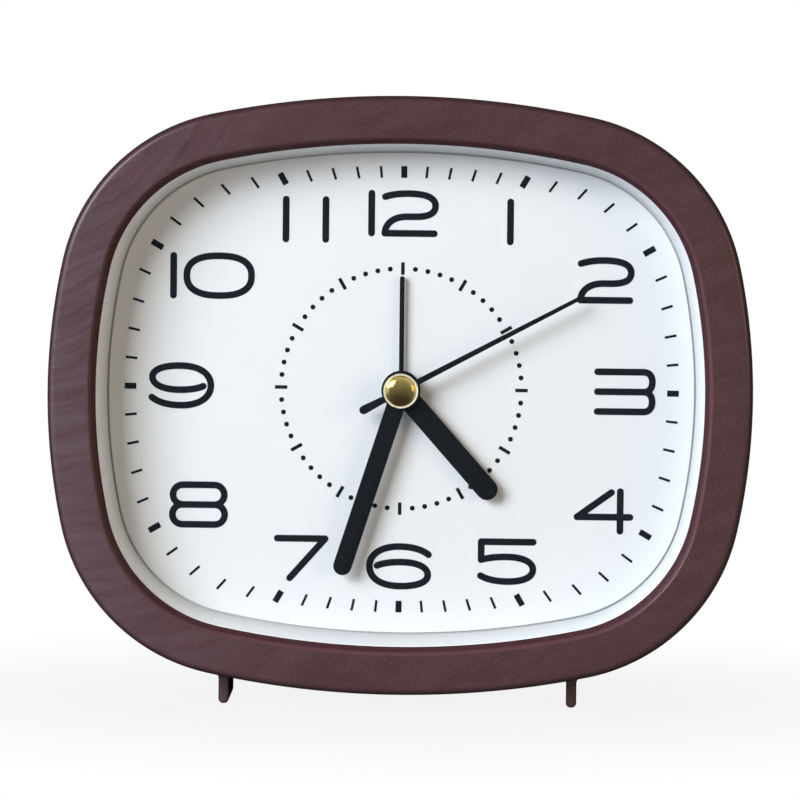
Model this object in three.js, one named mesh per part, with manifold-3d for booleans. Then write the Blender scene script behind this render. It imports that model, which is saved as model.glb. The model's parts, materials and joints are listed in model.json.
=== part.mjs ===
// Analogue table alarm clock with a quartz movement, in millimetres, +Z up, dial facing -Y.
// Pieces are shaped in the clock's own frame: x to the right, y up, z towards the viewer, and
// depth counted backwards from the front face, so that a depth d lies at z = -d.
import * as THREE from "three";
import { mergeVertices } from "three/addons/utils/BufferGeometryUtils.js";
import Module from "manifold-3d";

const wasm = await Module();
wasm.setup();

const TURN = Math.PI * 2;
const radians = THREE.MathUtils.degToRad;

// Case outline: four shallow arcs joined by four corner arcs; the hand axis lies above its middle
const CASE_WIDTH = 140;
const CASE_HEIGHT = 119;
const SIDE_ARC_RADIUS = 124;
const TOP_ARC_RADIUS = 184;
const CORNER_ARC_RADIUS = 38;
const AXIS_RISE = 0.7;
const SIDE_ARC_STEPS = 4;
const TOP_ARC_STEPS = 6;
const CORNER_ARC_STEPS = 7;

// Front case section
const CASE_DEPTH = 30;
const CASE_WALL = 2.2;
const CASE_DRAFT = 1.6;
const EDGE_RADIUS = 1.6;
const EDGE_STEPS = 4;
const BEZEL_WIDTH = 9.5;
const BEVEL_WIDTH = 1.1;
const LIP_DEPTH = 2.6;
const LIP_EDGE = 0.6;
const LENS_SEAT_WIDTH = 1.7;
const RIB_WALL = 1.2;

// Feet: two fins under the case, running front to back
const FOOT_WIDTH = 2.1;
const FOOT_SPACING = 69.4;
const FOOT_DROP = 2.6;
const FOOT_START = 6;
const FOOT_EDGE_RADIUS = 0.75;

// Pieces stacked behind the lip
const LENS_THICKNESS = 1.8;
const RING_HEIGHT = 7.8;
const RING_WALL = 1.1;
const RING_SLOPE = 1.65;
const DIAL_THICKNESS = 0.4;
const PLATE_THICKNESS = 1.4;

// Running and seating clearances, and how far a cutter runs past the face it cuts
const STACK_GAP = 0.1;
const SEAT_GAP = 0.3;
const RUNNING_GAP = 0.15;
const OVERCUT = 1;

// Back cover
const COVER_WALL = 2;
const COVER_EDGE_RADIUS = 3;
const COVER_EDGE_STEPS = 3;
const SKIRT_LENGTH = 2.5;
const SKIRT_WALL = 1.2;
const REAR_SPACE = 3;

// Case screws, their bosses in the corners and the sleeves in the cover
const BOSS_INSET = 6.3;
const BOSS_RADIUS = 2.2;
const CASE_SCREW_RADIUS = 0.95;
const CASE_SCREW_HEAD_RADIUS = 2;
const CASE_SCREW_HEAD_HEIGHT = 1.4;
const CASE_SCREW_REACH = 8;
const HEAD_RECESS = 2;
const SLEEVE_WALL = 1.1;
const HEAD_TAPER = 0.8;

// Hands, from the dial forwards
const HAND_THICKNESS = 0.5;
const HAND_GAP = 0.5;
const HAND_LIFT = 0.8;
const HUB_RADIUS = 3.9;
const HOUR_HAND_LENGTH = 28.4;
const HOUR_HAND_WIDTH = 4.3;
const HOUR_HAND_ANGLE = 138.5;
const MINUTE_HAND_LENGTH = 38.9;
const MINUTE_HAND_WIDTH = 3.7;
const MINUTE_HAND_ANGLE = 197.8;
const SECOND_HAND_LENGTH = 40.4;
const SECOND_HAND_TAIL = 9.2;
const SECOND_HAND_ROOT_WIDTH = 1.2;
const SECOND_HAND_TIP_WIDTH = 0.8;
const SECOND_HAND_TAIL_WIDTH = 1.75;
const SECOND_HUB_RADIUS = 2.2;
const SECOND_HAND_ANGLE = 62;
const ALARM_HAND_LENGTH = 22.8;
const ALARM_HAND_WIDTH = 0.95;
const ALARM_HUB_RADIUS = 3.6;
const ALARM_HAND_ANGLE = 0;
const CAP_RADIUS = 3.5;
const CAP_RIM = 0.4;
const CAP_HEIGHT = 1.5;
const CAP_STEPS = 4;

// Nested arbors, from the inside out
const SECONDS_ARBOR_RADIUS = 0.45;
const TUBE_WALL = 0.5;

// Wheel train
const WHEEL_THICKNESS = 1;
const LAYER_GAP = 0.6;
const ADDENDUM = 0.75;
const DEDENDUM = 1.05;
const WHEEL_TOOTH_SHARE = 0.42;
const TIP_SHARE = 0.5;
const ARBOR_RADIUS = 0.5;
const PIVOT_DEPTH = 0.9;
const ROTOR_PINION_TEETH = 6;
const INTERMEDIATE_TEETH = 30;
const INTERMEDIATE_PINION_TEETH = 6;
const SECONDS_TEETH = 36;
const SECONDS_PINION_TEETH = 6;
const THIRD_TEETH = 45;
const THIRD_PINION_TEETH = 6;
const CENTRE_TEETH = 48;
const CANNON_TEETH = 8;
const MINUTE_TEETH = 24;
const MINUTE_PINION_TEETH = 8;
const HOUR_TEETH = 32;
const TIME_SET_TEETH = 8;
const ALARM_SET_TEETH = 16;
const ALARM_TEETH = 20;

// Where the arbors stand, as distances and directions in degrees from the right
const ROTOR_DISTANCE = 7.2;
const ROTOR_DIRECTION = 30;
const INTERMEDIATE_DISTANCE = 8.4;
const INTERMEDIATE_DIRECTION = 45;
const THIRD_DISTANCE = 10.8;
const THIRD_DIRECTION = 120;
const MINUTE_DISTANCE = 8.4;
const MINUTE_DIRECTION = 180;
const TIME_SET_DIRECTION = 212;
const ALARM_SET_DISTANCE = 11.6;
const ALARM_SET_DIRECTION = -22.5;

// Stepping motor
const MAGNET_RADIUS = 3;
const MAGNET_GAP = 0.7;
const STATOR_NECK = 0.6;
const STATOR_THICKNESS = 1;
const STATOR_ARM = 3.4;
const COIL_OFFSET = 9.3;
const COIL_LENGTH = 16;
const COIL_RADIUS = 3.2;
const COIL_FLANGE = 0.8;
const BOBBIN_WALL = 0.5;
const CORE_WIDTH = 3;
const CORE_LENGTH = 24.2;

// Movement housing
const MOVEMENT_WALL = 1.3;
const MOVEMENT_TOP = 22.5;
const MOVEMENT_CORNER = 2;
const TRAIN_PLATE_THICKNESS = 1;
const TRAIN_PLATE_DROP = 3;
const TRAIN_POST_RISE = 1;
const TRAIN_POST_DIRECTION = 132;
const POST_RADIUS = 1.6;
const PIN_RADIUS = 0.7;
const EAR_RADIUS = 3;
const EAR_THICKNESS = 1.6;
const EAR_LIFT = 3;
const EAR_UPPER = 14;
const EAR_LOWER = -20;
const MOVEMENT_SCREW_RADIUS = 0.75;
const MOVEMENT_SCREW_HEAD_RADIUS = 1.6;
const MOVEMENT_SCREW_HEAD_HEIGHT = 1.1;
const MOVEMENT_SCREW_FLOOR = 0.4;

// Cell and contacts: one standard AA cell lying across the movement
const CELL_DIAMETER = 14.2;
const CELL_LENGTH = 49.5;
const CELL_NUB_RADIUS = 2.75;
const CELL_NUB_LENGTH = 1;
const CELL_EDGE = 0.6;
const CELL_ROOM = 0.4;
const BAY_TOP = 12.4;
const CONTACT_THICKNESS = 0.4;
const CONTACT_WIDTH = 8;
const CONTACT_SPRING = 4.6;

// Battery door in the back cover
const DOOR_THICKNESS = 1.2;
const DOOR_LEDGE = 1.6;
const DOOR_CORNER = 2;
const DOOR_RIBS = 3;
const DOOR_RIB_PITCH = 2.2;
const DOOR_RIB_WIDTH = 0.9;
const DOOR_RIB_LENGTH = 12;
const DOOR_RIB_HEIGHT = 0.5;

// Setting knobs and their arbors
const KNOB_RADIUS = 6.5;
const KNOB_HEIGHT = 6;
const KNOB_FLUTES = 20;
const KNOB_FLUTE_DEPTH = 0.5;
const KNOB_EDGE = 1;
const KNOB_BORE_DEPTH = 4;
const SET_ARBOR_RADIUS = 1;

// Alarm switch
const SWITCH_X = -24.5;
const SWITCH_Y = 15;
const SWITCH_WIDTH = 7;
const SWITCH_HEIGHT = 4.6;
const SWITCH_CORNER = 0.8;
const SWITCH_RISE = 2.4;
const SWITCH_NECK = 2.6;
const SWITCH_TRAVEL = 4;
const SWITCH_FLANGE = 0.8;
const SWITCH_FLANGE_MARGIN = 0.9;
const SWITCH_STEM = 1.6;

// Circuit board
const BOARD_WIDTH = 9;
const BOARD_LENGTH = 26;
const BOARD_THICKNESS = 1.2;
const BOARD_CENTRE_Y = 7;
const CHIP_RADIUS = 3;
const CHIP_HEIGHT = 1.3;
const CHIP_TOP_SHARE = 0.8;
const CHIP_EDGE_SHARE = 0.7;
const CHIP_RISE = -6.5;
const CRYSTAL_RADIUS = 1;
const CRYSTAL_LENGTH = 6.2;
const CRYSTAL_RISE = 1;

// Alarm contact leaf
const LEAF_THICKNESS = 0.2;
const LEAF_WIDTH = 3;
const LEAF_LENGTH = 6.6;
const LEAF_X = 3;
const LEAF_TOP = -3.6;

// Sounder and its leads
const BUZZER_RADIUS = 11;
const BUZZER_HEIGHT = 3.2;
const BUZZER_SPACE = 1.2;
const BUZZER_RIM = 1;
const SOUND_SLOTS = 7;
const SOUND_SLOT_WIDTH = 1.3;
const SOUND_SLOT_PITCH = 2.6;
const LEAD_RADIUS = 0.45;
const LEAD_SPACING = 2.4;
const LEAD_TUCK_LENGTH = 2;
const LEAD_SWEEP_WIDTH = 3;
const LEAD_LIFT_HEIGHT = 1;
const LEAD_STEPS = 12;

// Faces round small and large turned pieces
const POST_SIDES = 8;
const FINE_SIDES = 10;
const CORNER_STEPS = 3;
const ROUND_SIDES = 20;

// Depths of the stack, from the front face backwards
const lensFront = LIP_DEPTH + STACK_GAP;
const lensBack = lensFront + LENS_THICKNESS;
const ringFront = lensBack + STACK_GAP;
const ringBack = ringFront + RING_HEIGHT;
const dialFront = ringBack + STACK_GAP;
const dialBack = dialFront + DIAL_THICKNESS;
const plateFront = dialBack + STACK_GAP;
const plateBack = plateFront + PLATE_THICKNESS;
const movementFront = plateBack + STACK_GAP;
const floorBack = movementFront + MOVEMENT_WALL;

// Wheel layers behind the movement's floor: each is the depth of a layer's front
const layerPitch = WHEEL_THICKNESS + LAYER_GAP;
const alarmLayer = floorBack + LAYER_GAP;
const hourLayer = alarmLayer + layerPitch;
const minuteLayer = hourLayer + layerPitch;
const centreLayer = minuteLayer + layerPitch;
const thirdLayer = centreLayer + layerPitch;
const trainFront = thirdLayer + layerPitch;
const trainBack = trainFront + TRAIN_PLATE_THICKNESS;
const secondsLayer = trainBack + LAYER_GAP;
const motorLayer = secondsLayer + layerPitch;
const movementRoof = motorLayer + layerPitch;
const movementBack = movementRoof + MOVEMENT_WALL;

// Cell bay, below the wheels
const cellCentreY = -(BAY_TOP + CELL_ROOM + CELL_DIAMETER / 2);
const cellCentreDepth = floorBack + CELL_ROOM + CELL_DIAMETER / 2;
const bayBottom = cellCentreY - CELL_DIAMETER / 2 - CELL_ROOM;
const bayLength = CELL_LENGTH + CELL_NUB_LENGTH + CONTACT_SPRING + 2 * CONTACT_THICKNESS + 4 * SEAT_GAP;
const bayHalfLength = bayLength / 2;
const movementHalfWidth = bayHalfLength + MOVEMENT_WALL;
const movementBottom = bayBottom - MOVEMENT_WALL;
const gearFloor = -BAY_TOP + MOVEMENT_WALL;
const movementUpper = MOVEMENT_TOP + MOVEMENT_WALL;
const buzzerY = movementUpper + BUZZER_SPACE + BUZZER_RIM + SEAT_GAP + BUZZER_RADIUS;

// Rear of the case
const coverFront = CASE_DEPTH + SEAT_GAP;
const rearInner = Math.max(movementBack, cellCentreDepth + CELL_DIAMETER / 2) + REAR_SPACE;
const rear = rearInner + COVER_WALL;
const coverInset = CASE_DRAFT + SEAT_GAP;
const knobFront = rear + SEAT_GAP;
const knobBack = knobFront + KNOB_HEIGHT;

// Window and seats
const seatInset = BEZEL_WIDTH - LENS_SEAT_WIDTH;
const paneInset = seatInset + SEAT_GAP;
const ringInset = BEZEL_WIDTH + RING_SLOPE;

// Hand planes, each the depth of a hand's front
const handPitch = HAND_THICKNESS + HAND_GAP;
const alarmHandFront = dialFront - HAND_LIFT - HAND_THICKNESS;
const hourHandFront = alarmHandFront - handPitch;
const minuteHandFront = hourHandFront - handPitch;
const secondHandFront = minuteHandFront - handPitch;

// Nested tubes, with running clearance between each pair
const minuteTubeBore = SECONDS_ARBOR_RADIUS + RUNNING_GAP;
const minuteTube = minuteTubeBore + TUBE_WALL;
const hourTubeBore = minuteTube + RUNNING_GAP;
const hourTube = hourTubeBore + TUBE_WALL;
const alarmTubeBore = hourTube + RUNNING_GAP;
const alarmTube = alarmTubeBore + TUBE_WALL;
const bushBore = alarmTube + RUNNING_GAP;
const bushRadius = bushBore + 2 * TUBE_WALL;

// Modules of the wheel pairs, worked out from the arbor distances
const moduleFor = (distance, teeth, otherTeeth) => (2 * distance) / (teeth + otherTeeth);
const rotorModule = moduleFor(ROTOR_DISTANCE, ROTOR_PINION_TEETH, INTERMEDIATE_TEETH);
const intermediateModule = moduleFor(INTERMEDIATE_DISTANCE, INTERMEDIATE_PINION_TEETH, SECONDS_TEETH);
const secondsModule = moduleFor(THIRD_DISTANCE, SECONDS_PINION_TEETH, THIRD_TEETH);
const thirdModule = moduleFor(THIRD_DISTANCE, THIRD_PINION_TEETH, CENTRE_TEETH);
const cannonModule = moduleFor(MINUTE_DISTANCE, CANNON_TEETH, MINUTE_TEETH);
const hourModule = moduleFor(MINUTE_DISTANCE, MINUTE_PINION_TEETH, HOUR_TEETH);
const alarmModule = moduleFor(ALARM_SET_DISTANCE, ALARM_SET_TEETH, ALARM_TEETH);
const timeSetDistance = (cannonModule * (TIME_SET_TEETH + MINUTE_TEETH)) / 2;

// Arbor places in the clock's plane
function along(start, distance, direction) {
  const angle = radians(direction);
  return new THREE.Vector2(Math.cos(angle), Math.sin(angle)).multiplyScalar(distance).add(start);
}
const handAxis = new THREE.Vector2(0, 0);
const intermediateAxis = along(handAxis, INTERMEDIATE_DISTANCE, INTERMEDIATE_DIRECTION);
const rotorAxis = along(intermediateAxis, ROTOR_DISTANCE, ROTOR_DIRECTION);
const thirdAxis = along(handAxis, THIRD_DISTANCE, THIRD_DIRECTION);
const minuteAxis = along(handAxis, MINUTE_DISTANCE, MINUTE_DIRECTION);
const timeSetAxis = along(minuteAxis, timeSetDistance, TIME_SET_DIRECTION);
const alarmSetAxis = along(handAxis, ALARM_SET_DISTANCE, ALARM_SET_DIRECTION);
const settingAxes = [timeSetAxis, alarmSetAxis];

// Solids: three.js geometry in, boolean joins and cuts between
function solidOf(geometry) {
  const bare = geometry.clone();
  bare.deleteAttribute("normal");
  bare.deleteAttribute("uv");
  const merged = mergeVertices(bare);
  const corners = Array.from(merged.index.array);
  const build = (triVerts) =>
    new wasm.Manifold(
      new wasm.Mesh({
        numProp: 3,
        vertProperties: Float32Array.from(merged.attributes.position.array),
        triVerts: Uint32Array.from(triVerts),
      }),
    );
  const solid = build(corners);
  return solid.volume() > 0 ? solid : build(corners.reverse());
}

const join = (solids) => solids.reduce((sum, solid) => sum.add(solid));
const cut = (solid, tools) => tools.reduce((rest, tool) => rest.subtract(tool), solid);

function geometryOf(solid) {
  const mesh = solid.getMesh();
  const geometry = new THREE.BufferGeometry();
  geometry.setAttribute("position", new THREE.BufferAttribute(mesh.vertProperties, mesh.numProp));
  geometry.setIndex(new THREE.BufferAttribute(mesh.triVerts, 1));
  geometry.computeVertexNormals();
  return geometry;
}

// A flat shape carried from one depth to another
function extrude(shape, front, back, curveSegments = CORNER_STEPS) {
  const geometry = new THREE.ExtrudeGeometry(shape, {
    depth: back - front,
    bevelEnabled: false,
    curveSegments,
  });
  return solidOf(geometry.translate(0, 0, -back));
}

// A profile of [radius, depth] pairs turned about an axis through (x, y)
function turned(profile, sides = FINE_SIDES, x = 0, y = 0) {
  const points = profile.map(([radius, depth]) => new THREE.Vector2(radius, depth));
  const geometry = new THREE.LatheGeometry(points, sides).rotateX(-Math.PI / 2);
  return solidOf(geometry.translate(x, y, 0));
}

// Solid cylinder and tube between two depths
const disc = (radius, front, back, sides, x, y) =>
  turned([[0, front], [radius, front], [radius, back], [0, back]], sides, x, y);
const tube = (bore, radius, front, back, sides, x, y) =>
  turned([[bore, front], [radius, front], [radius, back], [bore, back], [bore, front]], sides, x, y);

// Cutter for a round hole: its flats, not its corners, stand at the radius
const bore = (radius, front, back, { x, y } = handAxis) =>
  disc(radius / Math.cos(Math.PI / FINE_SIDES), front, back, FINE_SIDES, x, y);

function roundedRectangle(left, bottom, right, top, radius) {
  const shape = new THREE.Shape();
  shape.absarc(right - radius, top - radius, radius, 0, TURN / 4);
  shape.absarc(left + radius, top - radius, radius, TURN / 4, TURN / 2);
  shape.absarc(left + radius, bottom + radius, radius, TURN / 2, (TURN * 3) / 4);
  shape.absarc(right - radius, bottom + radius, radius, (TURN * 3) / 4, TURN);
  return shape;
}

function rectangle(left, bottom, right, top) {
  const corners = [[left, bottom], [right, bottom], [right, top], [left, top]];
  return new THREE.Shape(corners.map(([x, y]) => new THREE.Vector2(x, y)));
}

// The case outline as arcs: centre, radius, first and last angle, and steps
function outlineArcs() {
  const sideCentre = CASE_WIDTH / 2 - SIDE_ARC_RADIUS;
  const topCentre = CASE_HEIGHT / 2 - TOP_ARC_RADIUS;
  const sideReach = SIDE_ARC_RADIUS - CORNER_ARC_RADIUS;
  const topReach = TOP_ARC_RADIUS - CORNER_ARC_RADIUS;
  const between = new THREE.Vector2(-sideCentre, topCentre);
  const apart = between.length();
  const share = (sideReach ** 2 - topReach ** 2 + apart ** 2) / (2 * apart);
  const rise = Math.sqrt(sideReach ** 2 - share ** 2);
  between.normalize();
  const cornerX = sideCentre + between.x * share - between.y * rise;
  const cornerY = between.y * share + between.x * rise;
  const side = Math.atan2(cornerY, cornerX - sideCentre);
  const top = Math.atan2(cornerX, cornerY - topCentre);
  const quarter = TURN / 4;
  const arc = (x, y, radius, from, to, steps) => ({ x, y: y - AXIS_RISE, radius, from, to, steps });
  const corner = (x, y, from, to) => arc(x, y, CORNER_ARC_RADIUS, from, to, CORNER_ARC_STEPS);
  return [
    arc(sideCentre, 0, SIDE_ARC_RADIUS, -side, side, SIDE_ARC_STEPS),
    corner(cornerX, cornerY, side, quarter - top),
    arc(0, topCentre, TOP_ARC_RADIUS, quarter - top, quarter + top, TOP_ARC_STEPS),
    corner(-cornerX, cornerY, quarter + top, 2 * quarter - side),
    arc(-sideCentre, 0, SIDE_ARC_RADIUS, 2 * quarter - side, 2 * quarter + side, SIDE_ARC_STEPS),
    corner(-cornerX, -cornerY, 2 * quarter + side, 3 * quarter - top),
    arc(0, -topCentre, TOP_ARC_RADIUS, 3 * quarter - top, 3 * quarter + top, TOP_ARC_STEPS),
    corner(cornerX, -cornerY, 3 * quarter + top, 4 * quarter - side),
  ];
}
const caseArcs = outlineArcs();
const cornerArcs = caseArcs.filter((arc, index) => index % 2 === 1);

function arcPoint(arc, inset, angle) {
  const radius = arc.radius - inset;
  return new THREE.Vector2(arc.x + radius * Math.cos(angle), arc.y + radius * Math.sin(angle));
}

// The outline drawn in by an inset: insets keep every arc's centre, so loops match point for point
function outlineLoop(inset) {
  return caseArcs.flatMap((arc) =>
    Array.from({ length: arc.steps }, (unused, step) =>
      arcPoint(arc, inset, arc.from + ((arc.to - arc.from) * step) / arc.steps),
    ),
  );
}

// Rings of the outline at [inset, depth] pairs, skinned in order; closed rings go round, open ones get lids
function skin(sections, closed) {
  const positions = [];
  const faces = [];
  const loops = sections.map(([inset]) => outlineLoop(inset));
  const count = loops[0].length;
  loops.forEach((loop, row) => loop.forEach((point) => positions.push(point.x, point.y, -sections[row][1])));
  const bands = closed ? sections.length : sections.length - 1;
  for (let row = 0; row < bands; row++) {
    const next = (row + 1) % sections.length;
    for (let i = 0; i < count; i++) {
      const j = (i + 1) % count;
      faces.push(row * count + i, row * count + j, next * count + j);
      faces.push(row * count + i, next * count + j, next * count + i);
    }
  }
  if (!closed) {
    const last = sections.length - 1;
    const frontMiddle = positions.length / 3;
    positions.push(0, 0, -sections[0][1], 0, 0, -sections[last][1]);
    for (let i = 0; i < count; i++) {
      const j = (i + 1) % count;
      faces.push(frontMiddle, j, i, frontMiddle + 1, last * count + i, last * count + j);
    }
  }
  const geometry = new THREE.BufferGeometry();
  geometry.setAttribute("position", new THREE.Float32BufferAttribute(positions, 3));
  geometry.setIndex(faces);
  return solidOf(geometry);
}
const loft = (sections) => skin(sections, false);
const frameOf = (section) => skin(section, true);
const pane = (inset, front, back) => loft([[inset, front], [inset, back]]);

// Quarter round from a side to a face, as [inset, depth] pairs
function quarterRound(inset, depth, radius, steps, towards) {
  return Array.from({ length: steps + 1 }, (unused, step) => {
    const angle = ((TURN / 4) * step) / steps;
    return [inset + radius * (1 - Math.cos(angle)), depth + towards * radius * (1 - Math.sin(angle))];
  });
}

// Toothed wheels
const tipRadius = (teeth, module) => (teeth / 2 + ADDENDUM) * module;
const rootRadius = (teeth, module) => (teeth / 2 - DEDENDUM) * module;

function gearShape(teeth, module) {
  const pitch = (teeth * module) / 2;
  const tip = tipRadius(teeth, module);
  const root = rootRadius(teeth, module);
  const half = (TURN / teeth / 2) * WHEEL_TOOTH_SHARE;
  const corners = [[root, (-half * pitch) / root], [tip, -half * TIP_SHARE], [tip, half * TIP_SHARE],
    [root, (half * pitch) / root]];
  const points = [];
  for (let tooth = 0; tooth < teeth; tooth++) {
    const middle = (TURN * tooth) / teeth;
    corners.forEach(([radius, offset]) => {
      const angle = middle + offset;
      points.push(new THREE.Vector2(radius * Math.cos(angle), radius * Math.sin(angle)));
    });
  }
  return new THREE.Shape(points);
}
const gear = (teeth, module, front) => extrude(gearShape(teeth, module), front, front + WHEEL_THICKNESS);

// Turn of a driven wheel that puts a space where the driving wheel has a tooth
function meshTurn(driver, driverTeeth, driverTurn, driven, drivenTeeth) {
  const line = Math.atan2(driven.y - driver.y, driven.x - driver.x);
  const toothOffset = (driverTurn - line) * driverTeeth;
  return line + TURN / 2 - (toothOffset + TURN / 2) / drivenTeeth;
}
const secondsTurn = 0;
const centreTurn = 0;
const intermediateTurn =
  meshTurn(handAxis, SECONDS_TEETH, secondsTurn, intermediateAxis, INTERMEDIATE_PINION_TEETH);
const rotorTurn =
  meshTurn(intermediateAxis, INTERMEDIATE_TEETH, intermediateTurn, rotorAxis, ROTOR_PINION_TEETH);
const thirdTurn = meshTurn(handAxis, SECONDS_PINION_TEETH, secondsTurn, thirdAxis, THIRD_TEETH);
const centreWheelTurn = meshTurn(thirdAxis, THIRD_PINION_TEETH, thirdTurn, handAxis, CENTRE_TEETH);
const minuteTurn = meshTurn(handAxis, CANNON_TEETH, centreTurn, minuteAxis, MINUTE_TEETH);
const hourTurn = meshTurn(minuteAxis, MINUTE_PINION_TEETH, minuteTurn, handAxis, HOUR_TEETH);
const timeSetTurn = meshTurn(minuteAxis, MINUTE_TEETH, minuteTurn, timeSetAxis, TIME_SET_TEETH);
const alarmSetTurn = 0;
const alarmTurn = meshTurn(alarmSetAxis, ALARM_SET_TEETH, alarmSetTurn, handAxis, ALARM_TEETH);

// Materials by name
const finish = (color, roughness, metalness = 0) =>
  new THREE.MeshStandardMaterial({ color, roughness, metalness });
const woodBrown = finish(0x563c3c, 0.45);
const clearPane = finish(0xf4f8fa, 0.05);
const ringWhite = finish(0xd8dadc, 0.35);
const dialWhite = finish(0xf0f3f6, 0.6);
const handBlack = finish(0x20262b, 0.4);
const brass = finish(0xb98a4a, 0.2, 1);
const coverBrown = finish(0x3a2c2a, 0.6);
const housingWhite = finish(0xe4e2dc, 0.5);
const wheelPlastic = finish(0xd9cfa8, 0.45);
const copper = finish(0xa8582c, 0.35, 1);
const steel = finish(0xb8bcc0, 0.3, 1);
const boardGreen = finish(0x2c5a36, 0.5);
const chipBlack = finish(0x15171a, 0.5);
const cellBlue = finish(0x3a4a66, 0.3, 0.4);

const clock = new THREE.Group();
const movement = new THREE.Group();
const dialSide = new THREE.Group();
clock.add(movement, dialSide);

// A finished piece, added to its group at (x, y) and turned about the depth axis
function piece(group, name, solid, material, place = handAxis, turn = 0) {
  const mesh = new THREE.Mesh(geometryOf(solid), material);
  mesh.name = name;
  mesh.position.set(place.x, place.y, 0);
  mesh.rotation.z = turn;
  group.add(mesh);
  return mesh;
}

// Screw places in the corners of the case
const bossPlaces = cornerArcs.map((arc) => arcPoint(arc, BOSS_INSET, (arc.from + arc.to) / 2));
const screwHole = CASE_SCREW_RADIUS + RUNNING_GAP;
const headSeat = rear - HEAD_RECESS - CASE_SCREW_HEAD_HEIGHT;
const screwTip = CASE_DEPTH - CASE_SCREW_REACH;

const footBottom = -CASE_HEIGHT / 2 - AXIS_RISE - FOOT_DROP;
function frontCase() {
  const ribInset = seatInset - RIB_WALL;
  const ribEnd = plateBack;
  const section = [
    ...quarterRound(0, 0, EDGE_RADIUS, EDGE_STEPS, 1),
    [BEZEL_WIDTH - BEVEL_WIDTH, 0],
    [BEZEL_WIDTH, LIP_DEPTH - LIP_EDGE],
    [BEZEL_WIDTH, LIP_DEPTH],
    [seatInset, LIP_DEPTH],
    [seatInset, ribEnd],
    [ribInset, ribEnd],
    [ribInset, LIP_DEPTH],
    [CASE_WALL, LIP_DEPTH],
    [CASE_DRAFT + CASE_WALL, CASE_DEPTH],
    [CASE_DRAFT, CASE_DEPTH],
  ];
  const seatRoom = pane(seatInset, LIP_DEPTH, ribEnd);
  const bosses = bossPlaces.map(({ x, y }) =>
    disc(BOSS_RADIUS, LIP_DEPTH - SEAT_GAP, CASE_DEPTH, FINE_SIDES, x, y).subtract(seatRoom));
  const holes = bossPlaces.map((place) =>
    bore(screwHole, screwTip - OVERCUT, CASE_DEPTH + OVERCUT, place));
  const middleOfWall = loft([[CASE_WALL / 2, 0], [CASE_WALL / 2 + CASE_DRAFT, CASE_DEPTH + OVERCUT]]);
  const feet = [-1, 1].map((side) => {
    const middle = (side * FOOT_SPACING) / 2;
    const left = middle - FOOT_WIDTH / 2;
    const shape = roundedRectangle(left, footBottom, left + FOOT_WIDTH, 0, FOOT_EDGE_RADIUS);
    return extrude(shape, FOOT_START, CASE_DEPTH).subtract(middleOfWall);
  });
  return cut(join([frameOf(section), ...bosses, ...feet]), holes);
}
piece(dialSide, "front_case", frontCase(), woodBrown);
piece(dialSide, "lens", pane(paneInset, lensFront, lensBack), clearPane);

function dialRing() {
  const slope = RING_SLOPE / RING_HEIGHT;
  return frameOf([
    [paneInset, ringFront],
    [BEZEL_WIDTH, ringFront],
    [ringInset, ringBack],
    [ringInset - RING_WALL, ringBack],
    [BEZEL_WIDTH - RING_WALL + slope * RING_WALL, ringFront + RING_WALL],
    [paneInset, ringFront + RING_WALL],
  ]);
}
piece(dialSide, "dial_ring", dialRing(), ringWhite);

const bushHole = bushRadius + SEAT_GAP;
const dialSolid = pane(paneInset, dialFront, dialBack)
  .subtract(disc(bushHole, dialFront - OVERCUT, dialBack + OVERCUT, ROUND_SIDES));
piece(dialSide, "dial", dialSolid, dialWhite);

// Ears of the movement stand on bosses of the dial plate
const earFront = movementFront + EAR_LIFT;
const earBack = earFront + EAR_THICKNESS;
const earX = movementHalfWidth + EAR_RADIUS;
const earPlaces = [[-earX, EAR_UPPER], [earX, EAR_UPPER], [-earX, EAR_LOWER], [earX, EAR_LOWER]]
  .map(([x, y]) => new THREE.Vector2(x, y));
const movementScrewHole = MOVEMENT_SCREW_RADIUS + RUNNING_GAP;

function dialPlate() {
  const bosses = earPlaces.map(({ x, y }) =>
    disc(EAR_RADIUS, plateBack - STACK_GAP, earFront - STACK_GAP, FINE_SIDES, x, y));
  const holes = earPlaces.map((place) =>
    bore(movementScrewHole, plateFront + MOVEMENT_SCREW_FLOOR, earFront + OVERCUT, place));
  const bush = disc(bushHole, plateFront - OVERCUT, plateBack + OVERCUT, ROUND_SIDES);
  return cut(join([pane(paneInset, plateFront, plateBack), ...bosses]), [...holes, bush]);
}
piece(dialSide, "dial_plate", dialPlate(), housingWhite);

// Hands are shaped pointing up and turned clockwise by their angle
function baton(length, width) {
  const shape = new THREE.Shape();
  shape.moveTo(width / 2, 0);
  shape.lineTo(width / 2, length - width / 2);
  shape.absarc(0, length - width / 2, width / 2, 0, TURN / 2);
  shape.lineTo(-width / 2, 0);
  return shape;
}

function hand(shape, hubRadius, boreRadius, front) {
  const back = front + HAND_THICKNESS;
  const plate = extrude(shape, front, back, 2 * CORNER_STEPS);
  const hub = disc(hubRadius, front, back, ROUND_SIDES);
  return plate.add(hub).subtract(bore(boreRadius, front - OVERCUT, back + OVERCUT));
}

function secondHandShape() {
  const shape = new THREE.Shape();
  const tailRadius = SECOND_HAND_TAIL_WIDTH / 2;
  shape.moveTo(SECOND_HAND_ROOT_WIDTH / 2, 0);
  shape.lineTo(SECOND_HAND_TIP_WIDTH / 2, SECOND_HAND_LENGTH);
  shape.lineTo(-SECOND_HAND_TIP_WIDTH / 2, SECOND_HAND_LENGTH);
  shape.lineTo(-SECOND_HAND_ROOT_WIDTH / 2, 0);
  shape.lineTo(-tailRadius, tailRadius - SECOND_HAND_TAIL);
  shape.absarc(0, tailRadius - SECOND_HAND_TAIL, tailRadius, TURN / 2, TURN);
  return shape;
}

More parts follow.
